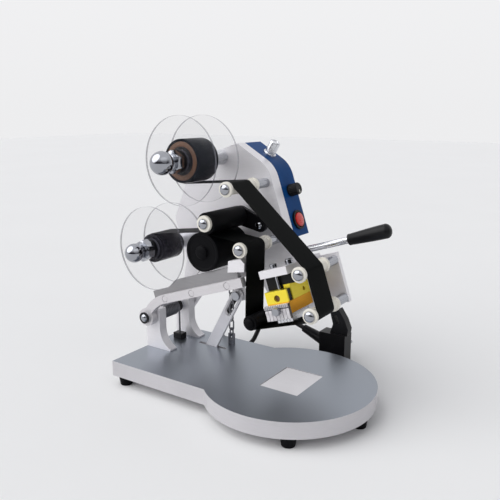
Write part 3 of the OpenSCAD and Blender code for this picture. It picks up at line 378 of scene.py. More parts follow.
def piece(name, points, faces, look, body, stands_for=(), smooth=35.0, uv=None, second=None):
    """A mesh from arrays, closed at its seams and poles, with its finish, body and the nodes that it stands for.
    second gives another finish to the faces whose middles it picks."""
    mesh = bpy.data.meshes.new(name)
    mesh.from_pydata(np.asarray(points, float).reshape(-1, 3).tolist(), [], [list(face) for face in faces])
    if uv is not None:
        layer = mesh.uv_layers.new(name="along")
        loops = np.zeros(len(mesh.loops), np.int32)
        mesh.loops.foreach_get("vertex_index", loops)
        layer.data.foreach_set("uv", np.asarray(uv, np.float32).reshape(-1, 2)[loops].ravel())
    work = bmesh.new()
    work.from_mesh(mesh)
    bmesh.ops.remove_doubles(work, verts=work.verts, dist=1e-7)
    bmesh.ops.recalc_face_normals(work, faces=work.faces)
    if second:
        for face in work.faces:
            face.material_index = int(second[1](face.calc_center_median()))
    work.to_mesh(mesh)
    work.free()
    mesh.shade_smooth()
    mesh.set_sharp_from_angle(angle=math.radians(smooth))
    made = placed(name, mesh)
    mesh.materials.append(finish(look))
    if second:
        mesh.materials.append(finish(second[0]))
    if stands_for:
        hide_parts(*stands_for)
    if body:
        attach(made, body)
    return made


def lattice(rows, columns, wrap_rows, wrap_columns):
    """Four-sided faces between neighbours of a grid of rows by columns, closed round where asked."""
    i = np.arange(rows if wrap_rows else rows - 1)
    j = np.arange(columns if wrap_columns else columns - 1)
    i, j = (a.ravel() for a in np.meshgrid(i, j, indexing="ij"))
    n, m = (i + 1) % rows, (j + 1) % columns
    return np.stack([i * columns + j, n * columns + j, n * columns + m, i * columns + m], axis=1)


def square_to(axis):
    """Two unit directions square to an axis and to each other."""
    axis = np.asarray(axis, float) / np.linalg.norm(axis)
    side = np.cross(axis, [0.0, 0.0, 1.0] if abs(axis[2]) < 0.9 else [1.0, 0.0, 0.0])
    side /= np.linalg.norm(side)
    return side, np.cross(axis, side)


def revolve(origin, axis, profile, sides, ripple=None):
    """Points and faces of a turned shape: (radius, height) pairs in mm, carried round an axis.
    ripple scales the radius by angle."""
    profile = np.asarray(profile, float) / 1000.0
    angle = np.linspace(0.0, 2 * math.pi, sides, endpoint=False)
    radius = np.ones((sides, 1)) * profile[None, :, 0]
    if ripple:
        radius = ripple(angle[:, None], profile[None, :, 1] * 1000) * profile[None, :, 0]
    side, up = square_to(axis)
    spoke = np.cos(angle)[:, None, None] * side + np.sin(angle)[:, None, None] * up
    points = np.asarray(origin) + radius[..., None] * spoke + profile[None, :, 1, None] * np.asarray(axis)
    return points.reshape(-1, 3), lattice(sides, len(profile), True, False)


def together(parts):
    """Several (points, faces) pairs as one."""
    starts = np.cumsum([0] + [len(p) for p, _ in parts])
    return np.concatenate([p for p, _ in parts]), np.concatenate([f + s for (_, f), s in zip(parts, starts)])


def sweep(path, radius, sides, closed=False):
    """A round tube: a circle carried along a path on sides that turn as little as they can."""
    path = np.asarray(path, float)
    ahead = np.roll(path, -1, 0) - np.roll(path, 1, 0)
    if not closed:
        ahead[0], ahead[-1] = path[1] - path[0], path[-1] - path[-2]
    ahead /= np.linalg.norm(ahead, axis=1)[:, None]
    side = square_to(ahead[0])[0]
    sides_along = []
    for way in ahead:
        side = side - way * (side @ way)
        side /= np.linalg.norm(side)
        sides_along.append(side)
    side = np.array(sides_along)
    angle = np.linspace(0, 2 * math.pi, sides, endpoint=False)
    over = np.cross(ahead, side)
    ring = np.cos(angle)[None, :, None] * side[:, None] + np.sin(angle)[None, :, None] * over[:, None]
    points = path[:, None] + radius * ring
    faces = lattice(len(path), sides, closed, True)
    length = np.r_[0.0, np.cumsum(np.linalg.norm(np.diff(path, axis=0), axis=1))]
    uv = np.stack(np.broadcast_arrays(length[:, None], angle[None] / (2 * math.pi)), axis=-1)
    if closed:
        return points.reshape(-1, 3), faces, uv
    ends = np.concatenate([path[:1], path[-1:]])
    turn = np.arange(sides)
    first, last = len(path) * sides, (len(path) - 1) * sides
    caps = np.concatenate(
        [
            np.stack([np.full(sides, first), (turn + 1) % sides, turn, turn], axis=1),
            np.stack([np.full(sides, first + 1), last + turn, last + (turn + 1) % sides, last + turn], axis=1),
        ]
    )
    points = np.concatenate([points.reshape(-1, 3), ends])
    uv = np.concatenate([uv.reshape(-1, 2), [[0.0, 0.0], [length[-1], 0.0]]])
    return points, [f[:3] if f[0] >= first else f for f in np.concatenate([faces, caps]).tolist()], uv


def through(points, steps):
    """A smooth line through points: cubic pieces whose slopes come from the neighbours on both sides."""
    points = np.asarray(points, float)
    t = np.r_[0.0, np.cumsum(np.linalg.norm(np.diff(points, axis=0), axis=1))]
    slope = np.gradient(points, t, axis=0)
    u = np.linspace(0, 1, steps, endpoint=False)[None, :, None]
    gap = np.diff(t)[:, None, None]
    a, b = points[:-1, None], points[1:, None]
    line = (
        (2 * u**3 - 3 * u**2 + 1) * a
        + (u**3 - 2 * u**2 + u) * gap * slope[:-1, None]
        + (3 * u**2 - 2 * u**3) * b
        + (u**3 - u**2) * gap * slope[1:, None]
    )
    return np.concatenate([line.reshape(-1, 3), points[-1:]])


def eased(node, look, width, split=None):
    """A merged copy of a solid whose edges are rounded by width times the panel's edge round.
    split gives a second finish to the faces that it picks."""
    mesh = NODES[node].data.copy()
    mesh.materials.clear()
    if mesh.has_custom_normals:
        mesh.attributes.remove(mesh.attributes["custom_normal"])
    work = bmesh.new()
    work.from_mesh(mesh)
    bmesh.ops.remove_doubles(work, verts=work.verts, dist=2e-6)
    bmesh.ops.dissolve_limit(work, angle_limit=math.radians(0.3), verts=work.verts, edges=work.edges)
    if split:
        for face in work.faces:
            face.material_index = int(split[1](face))
    work.to_mesh(mesh)
    work.free()
    mesh.shade_smooth()
    mesh.set_sharp_from_angle(angle=math.radians(30))
    made = placed(node + "_eased", mesh)
    mesh.materials.append(finish(look))
    if split:
        mesh.materials.append(finish(split[0]))
    bevel = made.modifiers.new("edge", "BEVEL")
    bevel.width = width * bpy.context.scene.coder_looks.edge
    bevel.segments = 2
    bevel.limit_method = "ANGLE"
    bevel.angle_limit = math.radians(32)
    bevel.harden_normals = True
    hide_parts(node)
    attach(made, BODY[node])
    return made


def turned(name, joint, profile, look, stands_for=()):
    """A piece turned about a spin joint's axis, from (radius, y) pairs in mm, that rides on the joint's body."""
    shape = revolve(spindle(joint), ACROSS, profile, bpy.context.scene.coder_looks.sides)
    return piece(name, *shape, look, JOINTS[joint]["child"], stands_for)


def round_edges(outline, r):
    """A closed turned outline whose corners, each a (radius, y) pair, are cut twice so that they look round."""
    outline = np.asarray(outline, float)
    before, after = np.roll(outline, 1, 0) - outline, np.roll(outline, -1, 0) - outline
    cut = []
    for ways in (before, after):
        length = np.linalg.norm(ways, axis=1)[:, None]
        cut.append(outline + ways / length * np.minimum(r, 0.4 * length))
    middle = 0.5 * outline + 0.25 * (cut[0] + cut[1])
    ring = np.stack([cut[0], middle, cut[1]], axis=1).reshape(-1, 2)
    return np.concatenate([ring, ring[:1]])


# The mains lead

DROP = [
    (-126.6, 91, 101), (-127.5, 92, 93), (-132, 93, 83.5), (-141, 94.5, 71), (-150, 96, 58), (-158, 97.2, 46.5),
    (-164, 97.8, 37), (-166.4, 98, 27), (-163.5, 98, 15.6), (-155, 98, 6.5), (-148, 98, 3.6), (-142, 98, 3),
]
RISE = [
    (-148, 114.8, 3), (-142, 114.8, 3), (-133, 116.4, 4.6), (-127.6, 119, 10.6), (-124, 122, 19.4),
    (-121, 125.2, 28.8), (-116.5, 128.6, 37.6), (-109, 132.2, 44), (-99, 135.4, 46.6), (-88, 138, 45.6),
    (-77, 139.6, 42.2),
]
HANK = {"x": -88.0, "half": 60.0, "y": 80.0, "inner": 18.0, "step": 8.4, "turns": 2, "z": 3.0}


def hank_line(steps):
    """Stadium-shaped loops whose fold radius grows steadily: a run, a fold, a run back and a fold a loop."""
    k = np.linspace(0, HANK["turns"], HANK["turns"] * steps + 1)[1:-1]
    r = HANK["inner"] + HANK["step"] * k
    share = (k % 1.0) * 2
    side = np.where(share >= 1, -1.0, 1.0)
    q = share % 1.0
    along = np.where(q < 0.25, -1 + 8 * q, 1.0)
    turn = math.pi * np.clip((q - 0.25) / 0.75, 0, 1)
    x = HANK["x"] + side * (along * HANK["half"] + r * np.sin(turn))
    return np.stack([x, HANK["y"] + side * r * np.cos(turn), np.full_like(x, HANK["z"])], axis=1)


class LeadBuilder(Operator):
    """Mains lead from the gland to its hank behind the base and on to the plug"""

    bl_idname = "coder.lead"
    bl_label = "Lead and plug"

    def execute(self, context):
        start = lifted([-119, PANEL_Y, 66])
        down = level_way(0, 0, -1)
        relief = row([-32, 140, 26])
        rise = math.radians(20)
        out = np.array([-math.cos(rise), 0, math.sin(rise)])
        drop = np.concatenate([[start, start + 0.008 * down], row(DROP)])
        climb = np.concatenate([row(RISE), [relief + 0.036 * out, relief + 0.030 * out]])
        hank = row(hank_line(96))
        # The first run begins where the drop has landed
        landing, first_run = row([-136, 0, 0])[0], np.arange(len(hank)) <= 12
        hank = hank[~first_run | (hank[:, 0] > landing)]
        line = np.concatenate([through(drop, 5), hank, through(climb, 5)])
        points, faces, uv = sweep(line, 0.003, 14)
        lead = piece("mains_lead", points, faces, "sheath", None, ("cord", "cord_hank"), uv=uv)
        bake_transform(lead)
        plug = eased("plug_body", "black", 3.2)
        outline = [(0, 0), (2.4, 0), (2.4, 17), (2.1, 18.3), (1.3, 19), (0, 19)]
        both = [revolve(row([x, 150, 20]), ACROSS, outline, 28) for x in (-23.5, -4.5)]
        pins = piece("plug_pin_pair", *together(both), "chrome", "base", ("plug_pins",))
        self.tie()
        return {"FINISHED"}

    def tie(self):
        """A strap round the hank's rear runs at their middles: a half circle about each, straight between them, and
        flat where it lies on the table."""
        mid_run = 1 / 16
        inside, outside = (HANK["y"] + HANK["inner"] + HANK["step"] * (turn + mid_run) for turn in (0, 1))
        half = np.linspace(-math.pi / 2, math.pi / 2, 16)
        angle = np.concatenate([half, half + math.pi])
        middle = np.repeat([outside, inside], len(half))
        low, high, inner, outer = -91, -85, (3.1, 0.4), (3.8, 0.0)
        rings = []
        for x, (r, floor) in ((low, inner), (low, outer), (high, outer), (high, inner)):
            height = np.maximum(HANK["z"] + r * np.sin(angle), floor)
            rings.append(np.stack([np.full_like(angle, x), middle + r * np.cos(angle), height], axis=1))
        strap = piece("lead_tie", row(np.concatenate(rings)), lattice(4, len(angle), True, True), "rubber", "base")
        return strap


class BaseBuilder(Operator):
    """Base casting, work plate, feet, uprights and their pivot"""

    bl_idname = "coder.base"
    bl_label = "Base and stand"

    def execute(self, context):
        # Faces that look up take the darker top finish: painted shade on the one silver casting.
        eased("base_plate", "base_side", 1.8, ("base_top", lambda face: face.normal.z > 0.7))
        eased("anvil_plate", "alloy", 0.8)
        eased("feet", "rubber", 1.8)
        eased("foot_screws", "steel", 0.6)
        eased("uprights", "alloy", 1.4)
        eased("pivot_shaft", "steel", 1.2)
        self.pivot_ends()
        eased("spring_bushing", "black", 1.0)
        eased("spring_anchor", "black", 1.4)
        eased("link_base_pin", "steel", 0.8)
        self.spring()
        return {"FINISHED"}

    def pivot_ends(self):
        """The shaft's near end, a dome on a dark washer, and its far end, a flat disc: both turned."""
        near, far = (corner[1] * 1000 + MIDDLE[1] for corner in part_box("pivot_collars"))
        centre = row([PIVOT[0], 0, PIVOT[1] + BASE_TOP])
        dome = [(0, near - 2.2), (2.4, near - 1.9), (4.0, near - 1.0), (4.7, near)]
        dome += [(7, near), (7, near + 2), (0, near + 2)]
        disc = [(0, far - 2), (8.5, far - 2), (8.5, far - 0.5), (8.1, far), (0, far)]
        ends = together([revolve(centre, ACROSS, outline, 56) for outline in (dome, disc)])
        dome_r = 0.0048
        washer = ("black", lambda c: c.y < 0 and math.hypot(c.x - centre[0], c.z - centre[2]) > dome_r)
        piece("pivot_end_pair", *ends, "chrome", "base", ("pivot_collars",), second=washer)

    def spring(self):
        """One wire: a leg up from the anchor, eight curls about the shaft and a leg out to the web."""
        wire, coil, pitch, turns, far = 1.2, 8.8, 3.0, 8, 32.0
        tip = lifted([-157, 0, 63.5]) * 1000 + MIDDLE
        tip = np.array([tip[0], tip[2] - wire - 0.3])
        pivot = PIVOT + [0, BASE_TOP]
        run = tip - pivot
        leg = math.atan2(run[1], run[0]) + math.acos(coil / np.linalg.norm(run))
        angle = np.linspace(0, 2 * math.pi * turns + leg, 8 * 40)
        y = far - pitch * angle / (2 * math.pi)
        curls = np.stack([pivot[0] + coil * np.cos(angle), y, pivot[1] + coil * np.sin(angle)], axis=1)
        up = np.linspace([pivot[0] + coil, far, BASE_TOP + 8], curls[0], 12)
        end = np.array([tip[0], y[-1], tip[1]])
        out = np.linspace(curls[-1], end, 12)
        points, faces, uv = sweep(row(np.concatenate([up[:-1], curls, out[1:]])), wire / 1000, 12)
        made = piece("torsion_spring", points, faces, "dark_steel", None, ("return_spring",), uv=uv)
        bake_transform(made)


class LinkBuilder(Operator):
    """Slotted feed link, its pins and tab, and the chain to the drum's wheel"""

    bl_idname = "coder.feed_link"
    bl_label = "Feed link and chain"

    def execute(self, context):
        eased("link_bar", "alloy", 1.0)
        eased("link_tab", "alloy", 1.2)
        eased("link_slot_pin", "chrome", 1.2)
        eased("chain_anchor", "dark_steel", 1.0)
        self.chain()
        return {"FINISHED"}

    def chain(self):
        """Links: round wire along two half circles and two straights, every other one turned by a quarter."""
        wire, half, inner, pitch, count, foot, y = 2.0, 2.0, 11.8, 11.5, 10, 39.0, 51.0
        x = JOINTS["feed_drum_spin"]["pos_m"][0] * 1000 + MIDDLE[0] - 8.0
        bend, straight = half + wire / 2, inner - 2 * half
        t = np.linspace(0, math.pi, 13)
        top = np.stack([bend * np.cos(t), bend * np.sin(t) + straight / 2], axis=1)
        loop = np.concatenate([top, -top])
        links = []
        for i in range(1, count + 1):
            flat = np.array([0.0, 1.0]) if i % 2 else np.array([1.0, 0.0])
            line = np.concatenate([loop[:, :1] * flat, loop[:, 1:]], axis=1)
            line = line + [x, y, foot + pitch * (i - 0.5)]
            links.append(sweep(row(line), wire / 2000, 10, True)[:2])
        chain = piece("feed_chain", *together(links), "dark_steel", None, ("chain",))
        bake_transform(chain)


class HeadBuilder(Operator):
    """Main plate, near arm, cross web and their screws"""

    bl_idname = "coder.head_frame"
    bl_label = "Head frame"

    def execute(self, context):
        eased("main_plate", "alloy", 1.4)
        eased("near_arm", "alloy_matt", 1.8)
        tab_y, tab_x = -0.0125, lifted([-46, 0, 72])[0]

        def tab(face):
            middle = face.calc_center_median()
            return middle.y < tab_y - MIDDLE[1] / 1000 or middle.x > tab_x

        # The cross web takes the dark grey copy of the alloy as painted shade; its proud tab and right end keep the
        # bright alloy.
        eased("cross_web", "alloy_grey", 1.4, ("alloy", tab))
        heads = []
        spots = [([x, -17.6, 58.25], level_way(0, -1, 0), 10.6, 2.4) for x in (-153, -110, -57)]
        spots += [([15, y, 65.5], level_way(0, 0, 1), 7.5, 4.5) for y in (2, 30)]
        for place, way, depth, head in spots:
            outline = [(0, -depth), (2, -depth), (2, 0), (3.8, 0), (3.8, head - 0.4), (3.5, head), (0, head)]
            heads.append(revolve(lifted(place), way, outline, 36))
        sunk = ("alloy_matt", lambda middle: middle.y < -0.015)
        piece("frame_screw_set", *together(heads), "chrome", "head", ("frame_screws",), second=sunk)
        return {"FINISHED"}


class CoverBuilder(Operator):
    """Blue cover with its fuse holder, knob, rocker switch and cord gland"""

    bl_idname = "coder.cover"
    bl_label = "Cover and controls"

    def execute(self, context):
        eased("cover", "blue", 3.2)
        eased("cover_screws", "steel", 0.6)
        self.fuse_cap()
        eased("switch_bezel", "black", 1.2)
        eased("rocker", "red", 1.4)
        eased("gland", "black", 1.2)
        self.dial(context.scene.coder_looks.knob_ribs)
        return {"FINISHED"}

    def dial(self, ribs):
        """Knob: a turned outline whose radius is less by a fixed share between its ribs, and a raised line on its
        face."""
        way = level_way(1, 0, 0)
        foot = lifted([-14, PANEL_Y, 143])
        groove, low_end, high_end = 0.045, 1.5, 11.5

        def ripple(angle, height):
            return 1 - groove * (np.cos(angle * ribs) > 0) * ((height > low_end) & (height < high_end))

        outline = [
            (0, -12), (3, -12), (3, 0.3), (7.2, 0.3), (7.5, 0.8), (7.5, 3), (7.3, 3.4), (7.2, 11.4), (6.9, 12.4),
            (6.2, 13), (5.2, 13), (4.9, 12.5), (0, 12.5),
        ]
        knob = revolve(foot, way, outline, ribs * 6, ripple)
        piece("temperature_dial", *knob, "black", "temperature_knob", ("temperature_knob",))
        side, up = square_to(way)
        mark = np.array([[-0.4, 2.0], [0.4, 2.0], [0.4, 6.0], [-0.4, 6.0]]) / 1000
        low = foot + 0.0127 * way + mark[:, :1] * side + mark[:, 1:] * up
        line = np.concatenate([low - 0.0006 * way, low + 0.0004 * way])
        box = [(3, 2, 1, 0), (4, 5, 6, 7), (0, 1, 5, 4), (1, 2, 6, 5), (2, 3, 7, 6), (3, 0, 4, 7)]
        piece("dial_mark", line, box, "cream", "temperature_knob")

    def fuse_cap(self):
        """Flange on the sloping corner, waist and round-shouldered cap, turned about the corner's normal."""
        slope = math.radians(49)
        way = level_way(math.sin(slope), 0, math.cos(slope))
        foot = lifted([-28.85, PANEL_Y, 192.12])
        outline = [
            (0, -14.5), (4.45, -14.5), (4.45, 0), (8, 0), (8, 2.4), (7.5, 3), (6.1, 3.2), (6.1, 4.4), (6.5, 4.8),
            (6.5, 16.4), (6.2, 17.3), (5.4, 18), (3.4, 18), (3.2, 17.5), (0, 17.5),
        ]
        piece("fuse_cap_turned", *revolve(foot, way, outline, 56), "steel", "head", ("fuse_holder",))


class HandleBuilder(Operator):
    """Handle rod and moulded grip"""

    bl_idname = "coder.handle"
    bl_label = "Handle"

    def execute(self, context):
        eased("handle_rod", "steel", 1.0)
        self.grip()
        return {"FINISHED"}

    def grip(self):
        """Radius over the share h of the length: a sine swell, then a quarter ellipse to the tip, less a shallow
        bell-shaped groove near the rod."""
        foot, way = lifted([58, 66, 71.5]), level_way(1, 0, 0)
        length, thin, thick, nose = 50, 6.4, 8.0, 0.88
        h = np.linspace(0, 1, 40)
        swell = thin + (thick - thin) * np.sin(np.clip(h / 0.9, 0, 1) * math.pi / 2) ** 1.3
        tip = thick * np.sqrt(np.clip(1 - ((h - nose) / (1 - nose)) ** 2, 0, 1))
        swell = np.where(h > nose, tip, swell)
        groove = 1 - 0.05 * np.exp(-(((h - 0.06) / 0.012) ** 2))
        outline = [(0, 0.4), (4.1, 0.4), (5.6, 0)] + [(r, length * s) for r, s in zip(swell * groove, h)]
        piece("lever_grip", *revolve(foot, way, outline, 64), "black", "head", ("handle_grip",))


class ReelBuilder(Operator):
    """Clear reels with their hubs, cores, rolls, spindles and dome nuts"""

    bl_idname = "coder.reels"
    bl_label = "Reels"

    def execute(self, context):
        near_end, far_end = [(6.05, -25), (12, -25)], [(12, 27), (6.05, 27)]
        for reel, barrel in (("supply", self.band(12, 16)), ("takeup", [])):
            eased(reel + "_discs", "clear_rim", 0.8, ("clear", lambda face: abs(face.normal.y) > 0.9))
            hub = round_edges(near_end + barrel + far_end, 0.9)
            turned(reel + "_hub_turned", reel + "_spin", hub, "black", (reel + "_hub",))
        for name, joint, inner, outer, r, look, node in (
            ("supply_tube", "supply_spin", 16.05, 21.5, 0.4, "brown", "supply_core"),
            ("supply_winding", "supply_spin", 21.575, 24.5, 0.5, "full_roll", "supply_roll"),
            ("takeup_winding", "takeup_spin", 12.05, 17, 0.5, "used_roll", "takeup_roll"),
        ):
            turned(name, joint, round_edges(self.band(inner, outer), r), look, (node,))
        eased("reel_spindles", "steel", 1.2)
        nuts = []
        for joint, ball in (("supply_spin", 13.0), ("takeup_spin", 11.0)):
            nuts += self.nut(joint, ball)
        piece("dome_nut_pair", *together(nuts), "chrome", "head", ("dome_nuts",))
        return {"FINISHED"}

    def band(self, inner, outer):
        """Corners of a ring as wide as the ribbon."""
        return [(inner, RIBBON_NEAR), (outer, RIBBON_NEAR), (outer, RIBBON_FAR), (inner, RIBBON_FAR)]

    def nut(self, joint, ball):
        """A six-sided nut, cut by a cone at both ends, with a waisted neck and a ball in front."""
        centre = spindle(joint)
        y0, y1, corner, cut = -35.3, -25.3, 13.0, 0.9

        def six(angle, height):
            flat = np.abs((angle + math.pi / 6) % (math.pi / 3) - math.pi / 6)
            hexagon = corner * math.cos(math.pi / 6) / np.cos(flat)
            cone = 11.4 + 1.7 * np.minimum(height - y0, y1 - height) / cut
            return np.minimum(hexagon, cone) / corner

        heights = [y0, y0 + cut / 2, y0 + cut, y1 - cut, y1 - cut / 2, y1]
        body = [(0, y0)] + [(corner, h) for h in heights] + [(0, y1)]
        middle = y0 - 4 - ball + 3
        t = np.linspace(0, math.pi * 0.80, 40)
        head = [(ball * math.sin(a), middle - ball * math.cos(a)) for a in t]
        neck = head + [(9.0, y0 - 2.6), (9.0, y0 + 0.2), (0, y0 + 0.2)]
        return [revolve(centre, ACROSS, body, 144, six), revolve(centre, ACROSS, neck, 72)]


class RollerBuilder(Operator):
    """Guide rollers, rubber drum and pinch roller on their axles"""

    bl_idname = "coder.rollers"
    bl_label = "Rollers"

    def execute(self, context):
        for name in ("top", "rear", "front", "nose"):
            self.guide("roller_" + name, 6.6, "cream")
        self.guide("roller_tail", 8.0, "rubber")
        drum = [
            (5.05, -16), (7, -16), (7.6, -15.2), (19, -15.2), (19.7, -16), (22.5, -16), (22.5, 44), (8, 44),
            (8, 46), (10, 46), (10, 47.6), (7, 48.2), (7, 53.8), (10, 54.4), (10, 56), (5.05, 56),
        ]
        turned("drum_turned", "feed_drum_spin", round_edges(drum, 0.7), "rubber", ("feed_drum",))
        pinch = [(3.05, -20), (12, -20), (12, 43), (3.05, 43)]
        turned("pinch_turned", "pinch_spin", round_edges(pinch, 0.8), "rubber", ("pinch_roller",))
        ring = [(3.05, -24), (9.2, -24), (9.2, -20), (3.05, -20)]
        turned("pinch_ring", "pinch_spin", round_edges(ring, 0.6), "cream")
        self.lever()
        axles = []
        for name in ("top", "rear", "front", "nose", "tail"):
            axles += self.axle("roller_" + name + "_spin", 3.0, -21.6, 33.3)
        axles += self.axle("pinch_spin", 3.0, -24.3, 43.3) + self.axle("feed_drum_spin", 5.0, -16.3, 56.3)
        dark = [axle("feed_drum_spin"), axle("roller_tail_spin")]

        def blackened(c):
            return c.y < 0 and any(math.hypot(c.x - a[0], c.z - a[2]) < 0.012 for a in dark)

        piece("axle_set", *together(axles), "chrome", "head", ("roller_axles",), second=("rubber", blackened))
        return {"FINISHED"}

    def lever(self):
        """A flat lever from the pinch roller's axle to a bolt on the plate: two circles of different size and the
        lines that touch both, carried from one side to the other."""
        ends, radii = np.array([PINCH_AXIS, LEVER_BOLT]), (11.5, 8.5)
        run = ends[1] - ends[0]
        lean = math.acos((radii[0] - radii[1]) / np.linalg.norm(run))
        way = math.atan2(run[1], run[0])
        rear = way + np.linspace(lean, 2 * math.pi - lean, 40)
        front = way + np.linspace(-lean, lean, 40)
        edge = [ends[k] + radii[k] * np.stack([np.cos(a), np.sin(a)], 1) for k, a in ((0, rear), (1, front))]
        edge = np.concatenate(edge)
        inner = (edge - edge.mean(0)) * 0.96 + edge.mean(0)
        rings = [(inner, 45.0), (edge, 45.6), (edge, 49.4), (inner, 50.0)]
        points = np.stack([np.insert(flat, 1, y, axis=1) for flat, y in rings])
        count = len(edge)
        faces = lattice(4, count, False, True).tolist()
        faces += [list(range(count)), list(range(4 * count - 1, 3 * count - 1, -1))]
        plate = piece("pinch_lever", lifted(points), faces, "black", "head", smooth=30.0)
        bolt = [(0, 41.6), (2.6, 41.9), (4.2, 43.0), (4.4, 45.0), (3.0, 45.0), (3.0, PLATE_FACE), (0, PLATE_FACE)]
        made = revolve(lifted(np.insert(LEVER_BOLT, 1, 0.0)), ACROSS, bolt, 40)
        piece("pinch_lever_bolt", *made, "chrome", "head")

    def guide(self, node, r, look):
        """A roller with two flanges. The near one has a shallow recess in its face, round the axle."""
        outline = [
            (3.05, -20.9), (4.9, -20.9), (5.2, -21.3), (8.3, -21.3), (8.3, -17.3), (r, -17.3), (r, 29), (8.3, 29),
            (8.3, 33), (3.05, 33),
        ]
        turned(node + "_turned", node + "_spin", round_edges(outline, 0.5), look, (node,))

    def axle(self, joint, r, near, far):
        """An axle with a domed screw head in front, a quarter circle in section, and a standoff at the plate."""
        rise, end = 2.8, 64
        head = r + rise
        dome = [(head * math.sin(t), near - 1.0 - rise * math.cos(t)) for t in np.linspace(0, math.pi / 2, 12)]
        front = dome + [(head, near), (r, near), (r, end), (0, end)]
        post = [(0, far), (r + 2.2, far), (r + 2.6, far + 0.4), (r + 2.6, PLATE_FACE), (0, PLATE_FACE)]
        return [revolve(spindle(joint), ACROSS, outline, 48) for outline in (front, post)]


class RibbonBuilder(Operator):
    """Carbon ribbon from the full reel round the rollers to the used reel"""

    bl_idname = "coder.ribbon"
    bl_label = "Ribbon"

    # Centre, radius and side of each round that the ribbon passes, on the level head
    ROUNDS = [
        ((-74, 204), 25.0, 1), ((-23, 158.5), 7.1, -1), ((37, 54), 7.1, -1), ((37, 10.5), 7.1, -1),
        ((-39, 13.5), 8.5, -1), ((-27, 92.5), 7.1, 1), (PINCH_AXIS, 12.5, -1), ((-81.5, 100.5), 23.0, 1),
        ((-152.5, 120), 17.5, 1),
    ]

    def line(self):
        """Straight runs tangent to the rounds, joined by arcs in small steps; gives points and their normals."""
        ways = []
        for (c, r, s), (d, q, u) in zip(self.ROUNDS, self.ROUNDS[1:]):
            run = np.subtract(d, c)
            ways.append(math.atan2(run[1], run[0]) - math.asin((u * q - s * r) / np.linalg.norm(run)))
        angles, passed = [ways[0]], [self.ROUNDS[0]]
        for around, into, out in zip(self.ROUNDS[1:-1], ways, ways[1:]):
            side = around[2]
            turn = side * ((side * (out - into)) % (2 * math.pi))
            steps = max(2, int(abs(turn) / math.radians(4)))
            angles += list(into + turn * np.linspace(0, 1, steps + 1))
            passed += [around] * (steps + 1)
        angles, passed = np.array(angles + [ways[-1]]), passed + [self.ROUNDS[-1]]
        centres = np.array([c for c, _, _ in passed], float)
        reach = np.array([r * s for _, r, s in passed])
        normal = np.stack([-np.sin(angles), np.cos(angles)], axis=1)
        return centres - reach[:, None] * normal, normal

    def execute(self, context):
        middle, normal = self.line()
        length = np.r_[0, np.cumsum(np.linalg.norm(np.diff(middle, axis=0), axis=1))] / 1000
        half, wide = 0.2, (RIBBON_FAR - RIBBON_NEAR) / 1000
        corners = [(-half, RIBBON_NEAR), (half, RIBBON_NEAR), (half, RIBBON_FAR), (-half, RIBBON_FAR)]
        points = np.stack([np.insert(middle + out * normal, 1, y, axis=1) for out, y in corners], axis=1)
        faces = lattice(len(middle), 4, False, True).tolist()
        last = (len(middle) - 1) * 4
        faces += [(3, 2, 1, 0), (last, last + 1, last + 2, last + 3)]
        uv = np.stack(np.broadcast_arrays(length[:, None], np.array([0, 0, wide, wide])[None]), axis=-1)
        piece("carbon_ribbon", lifted(points), faces, "film", "head", ("ribbon_web",), 50.0, uv)
        return {"FINISHED"}


class PrintHeadBuilder(Operator):
    """Bracket, guide rods, heater block, type holder and clamp"""

    bl_idname = "coder.print_head"
    bl_label = "Print head"

    def execute(self, context):
        eased("head_bracket", "alloy", 1.2)
        eased("guide_rods", "chrome", 0.6)
        eased("insulator", "black", 1.2)
        eased("heater_block", "brass", 0.7)
        eased("heater_cartridge", "brown", 0.6)
        eased("type_holder", "bronze", 1.0)
        eased("type_set", "steel", 0.4)
        self.end_plate()
        eased("clamp_screw", "chrome", 0.6)
        return {"FINISHED"}

    def end_plate(self):
        """Plate over the type's near end: its front is a depth over x and z, with teeth on the upper band, a groove
        below them and the uneven ends of the slugs with gaps between them. The depths take a dark finish as painted
        shade."""
        left, right, low, high, near, far = -15.5, 15.0, 11.7, 28.0, -21.5, -17.0
        tooth_w, slug_w, groove_z, band_z = 2.3, 4.36, 23.6, 23.9
        x, z = np.linspace(left, right, 245), np.linspace(low, high, 54)
        gx, gz = np.meshgrid(x, z, indexing="ij")
        teeth = 1.3 * np.abs(((gx / tooth_w) % 1.0) * 2 - 1) ** 1.5
        place = (gx - left) / slug_w
        slug = np.floor(place)
        uneven = 0.3 + 0.3 * np.sin(slug * 2.4 + 1.0) + 0.2 * np.sin(gz * 0.8 + slug * 1.7)
        seam = np.exp(-((place - np.round(place)) ** 2) / 0.005)
        groove = np.exp(-(((gz - groove_z) / 0.55) ** 4))
        band = 1 / (1 + np.exp(-(gz - band_z) / 0.15))
        edge = np.minimum(np.minimum(gx - left, right - gx), np.minimum(gz - low, high - gz))
        rounded = 0.5 * np.clip(1 - edge / 0.6, 0, 1) ** 2
        relief = band * teeth + (1 - band) * np.maximum(uneven, 1.5 * seam)
        front = near + np.clip(np.maximum(relief, 1.5 * groove) + rounded, 0, 2.0)
        face = np.stack([gx, front, gz], axis=-1)
        back = np.stack(np.broadcast_arrays(x[:, None], far, np.array([high, low])[None]), axis=-1)
        points = np.concatenate([face, back], axis=1)
        count = points.shape[1]
        faces = lattice(len(x), count, False, True).tolist()
        last = (len(x) - 1) * count
        faces += [list(range(count))[::-1], list(range(last, last + count))]
        # The faces set deepest in the front, the groove, the seams and the tooth valleys, take dark steel as
        # painted shade.
        deep = (-20.55 - MIDDLE[1]) / 1000, (-19.2 - MIDDLE[1]) / 1000
        dark = ("dark_steel", lambda middle: deep[0] < middle.y < deep[1])
        piece("type_end_plate", lifted(points), faces, "alloy_matt", "head", ("clamp_plate",), 40.0, second=dark)


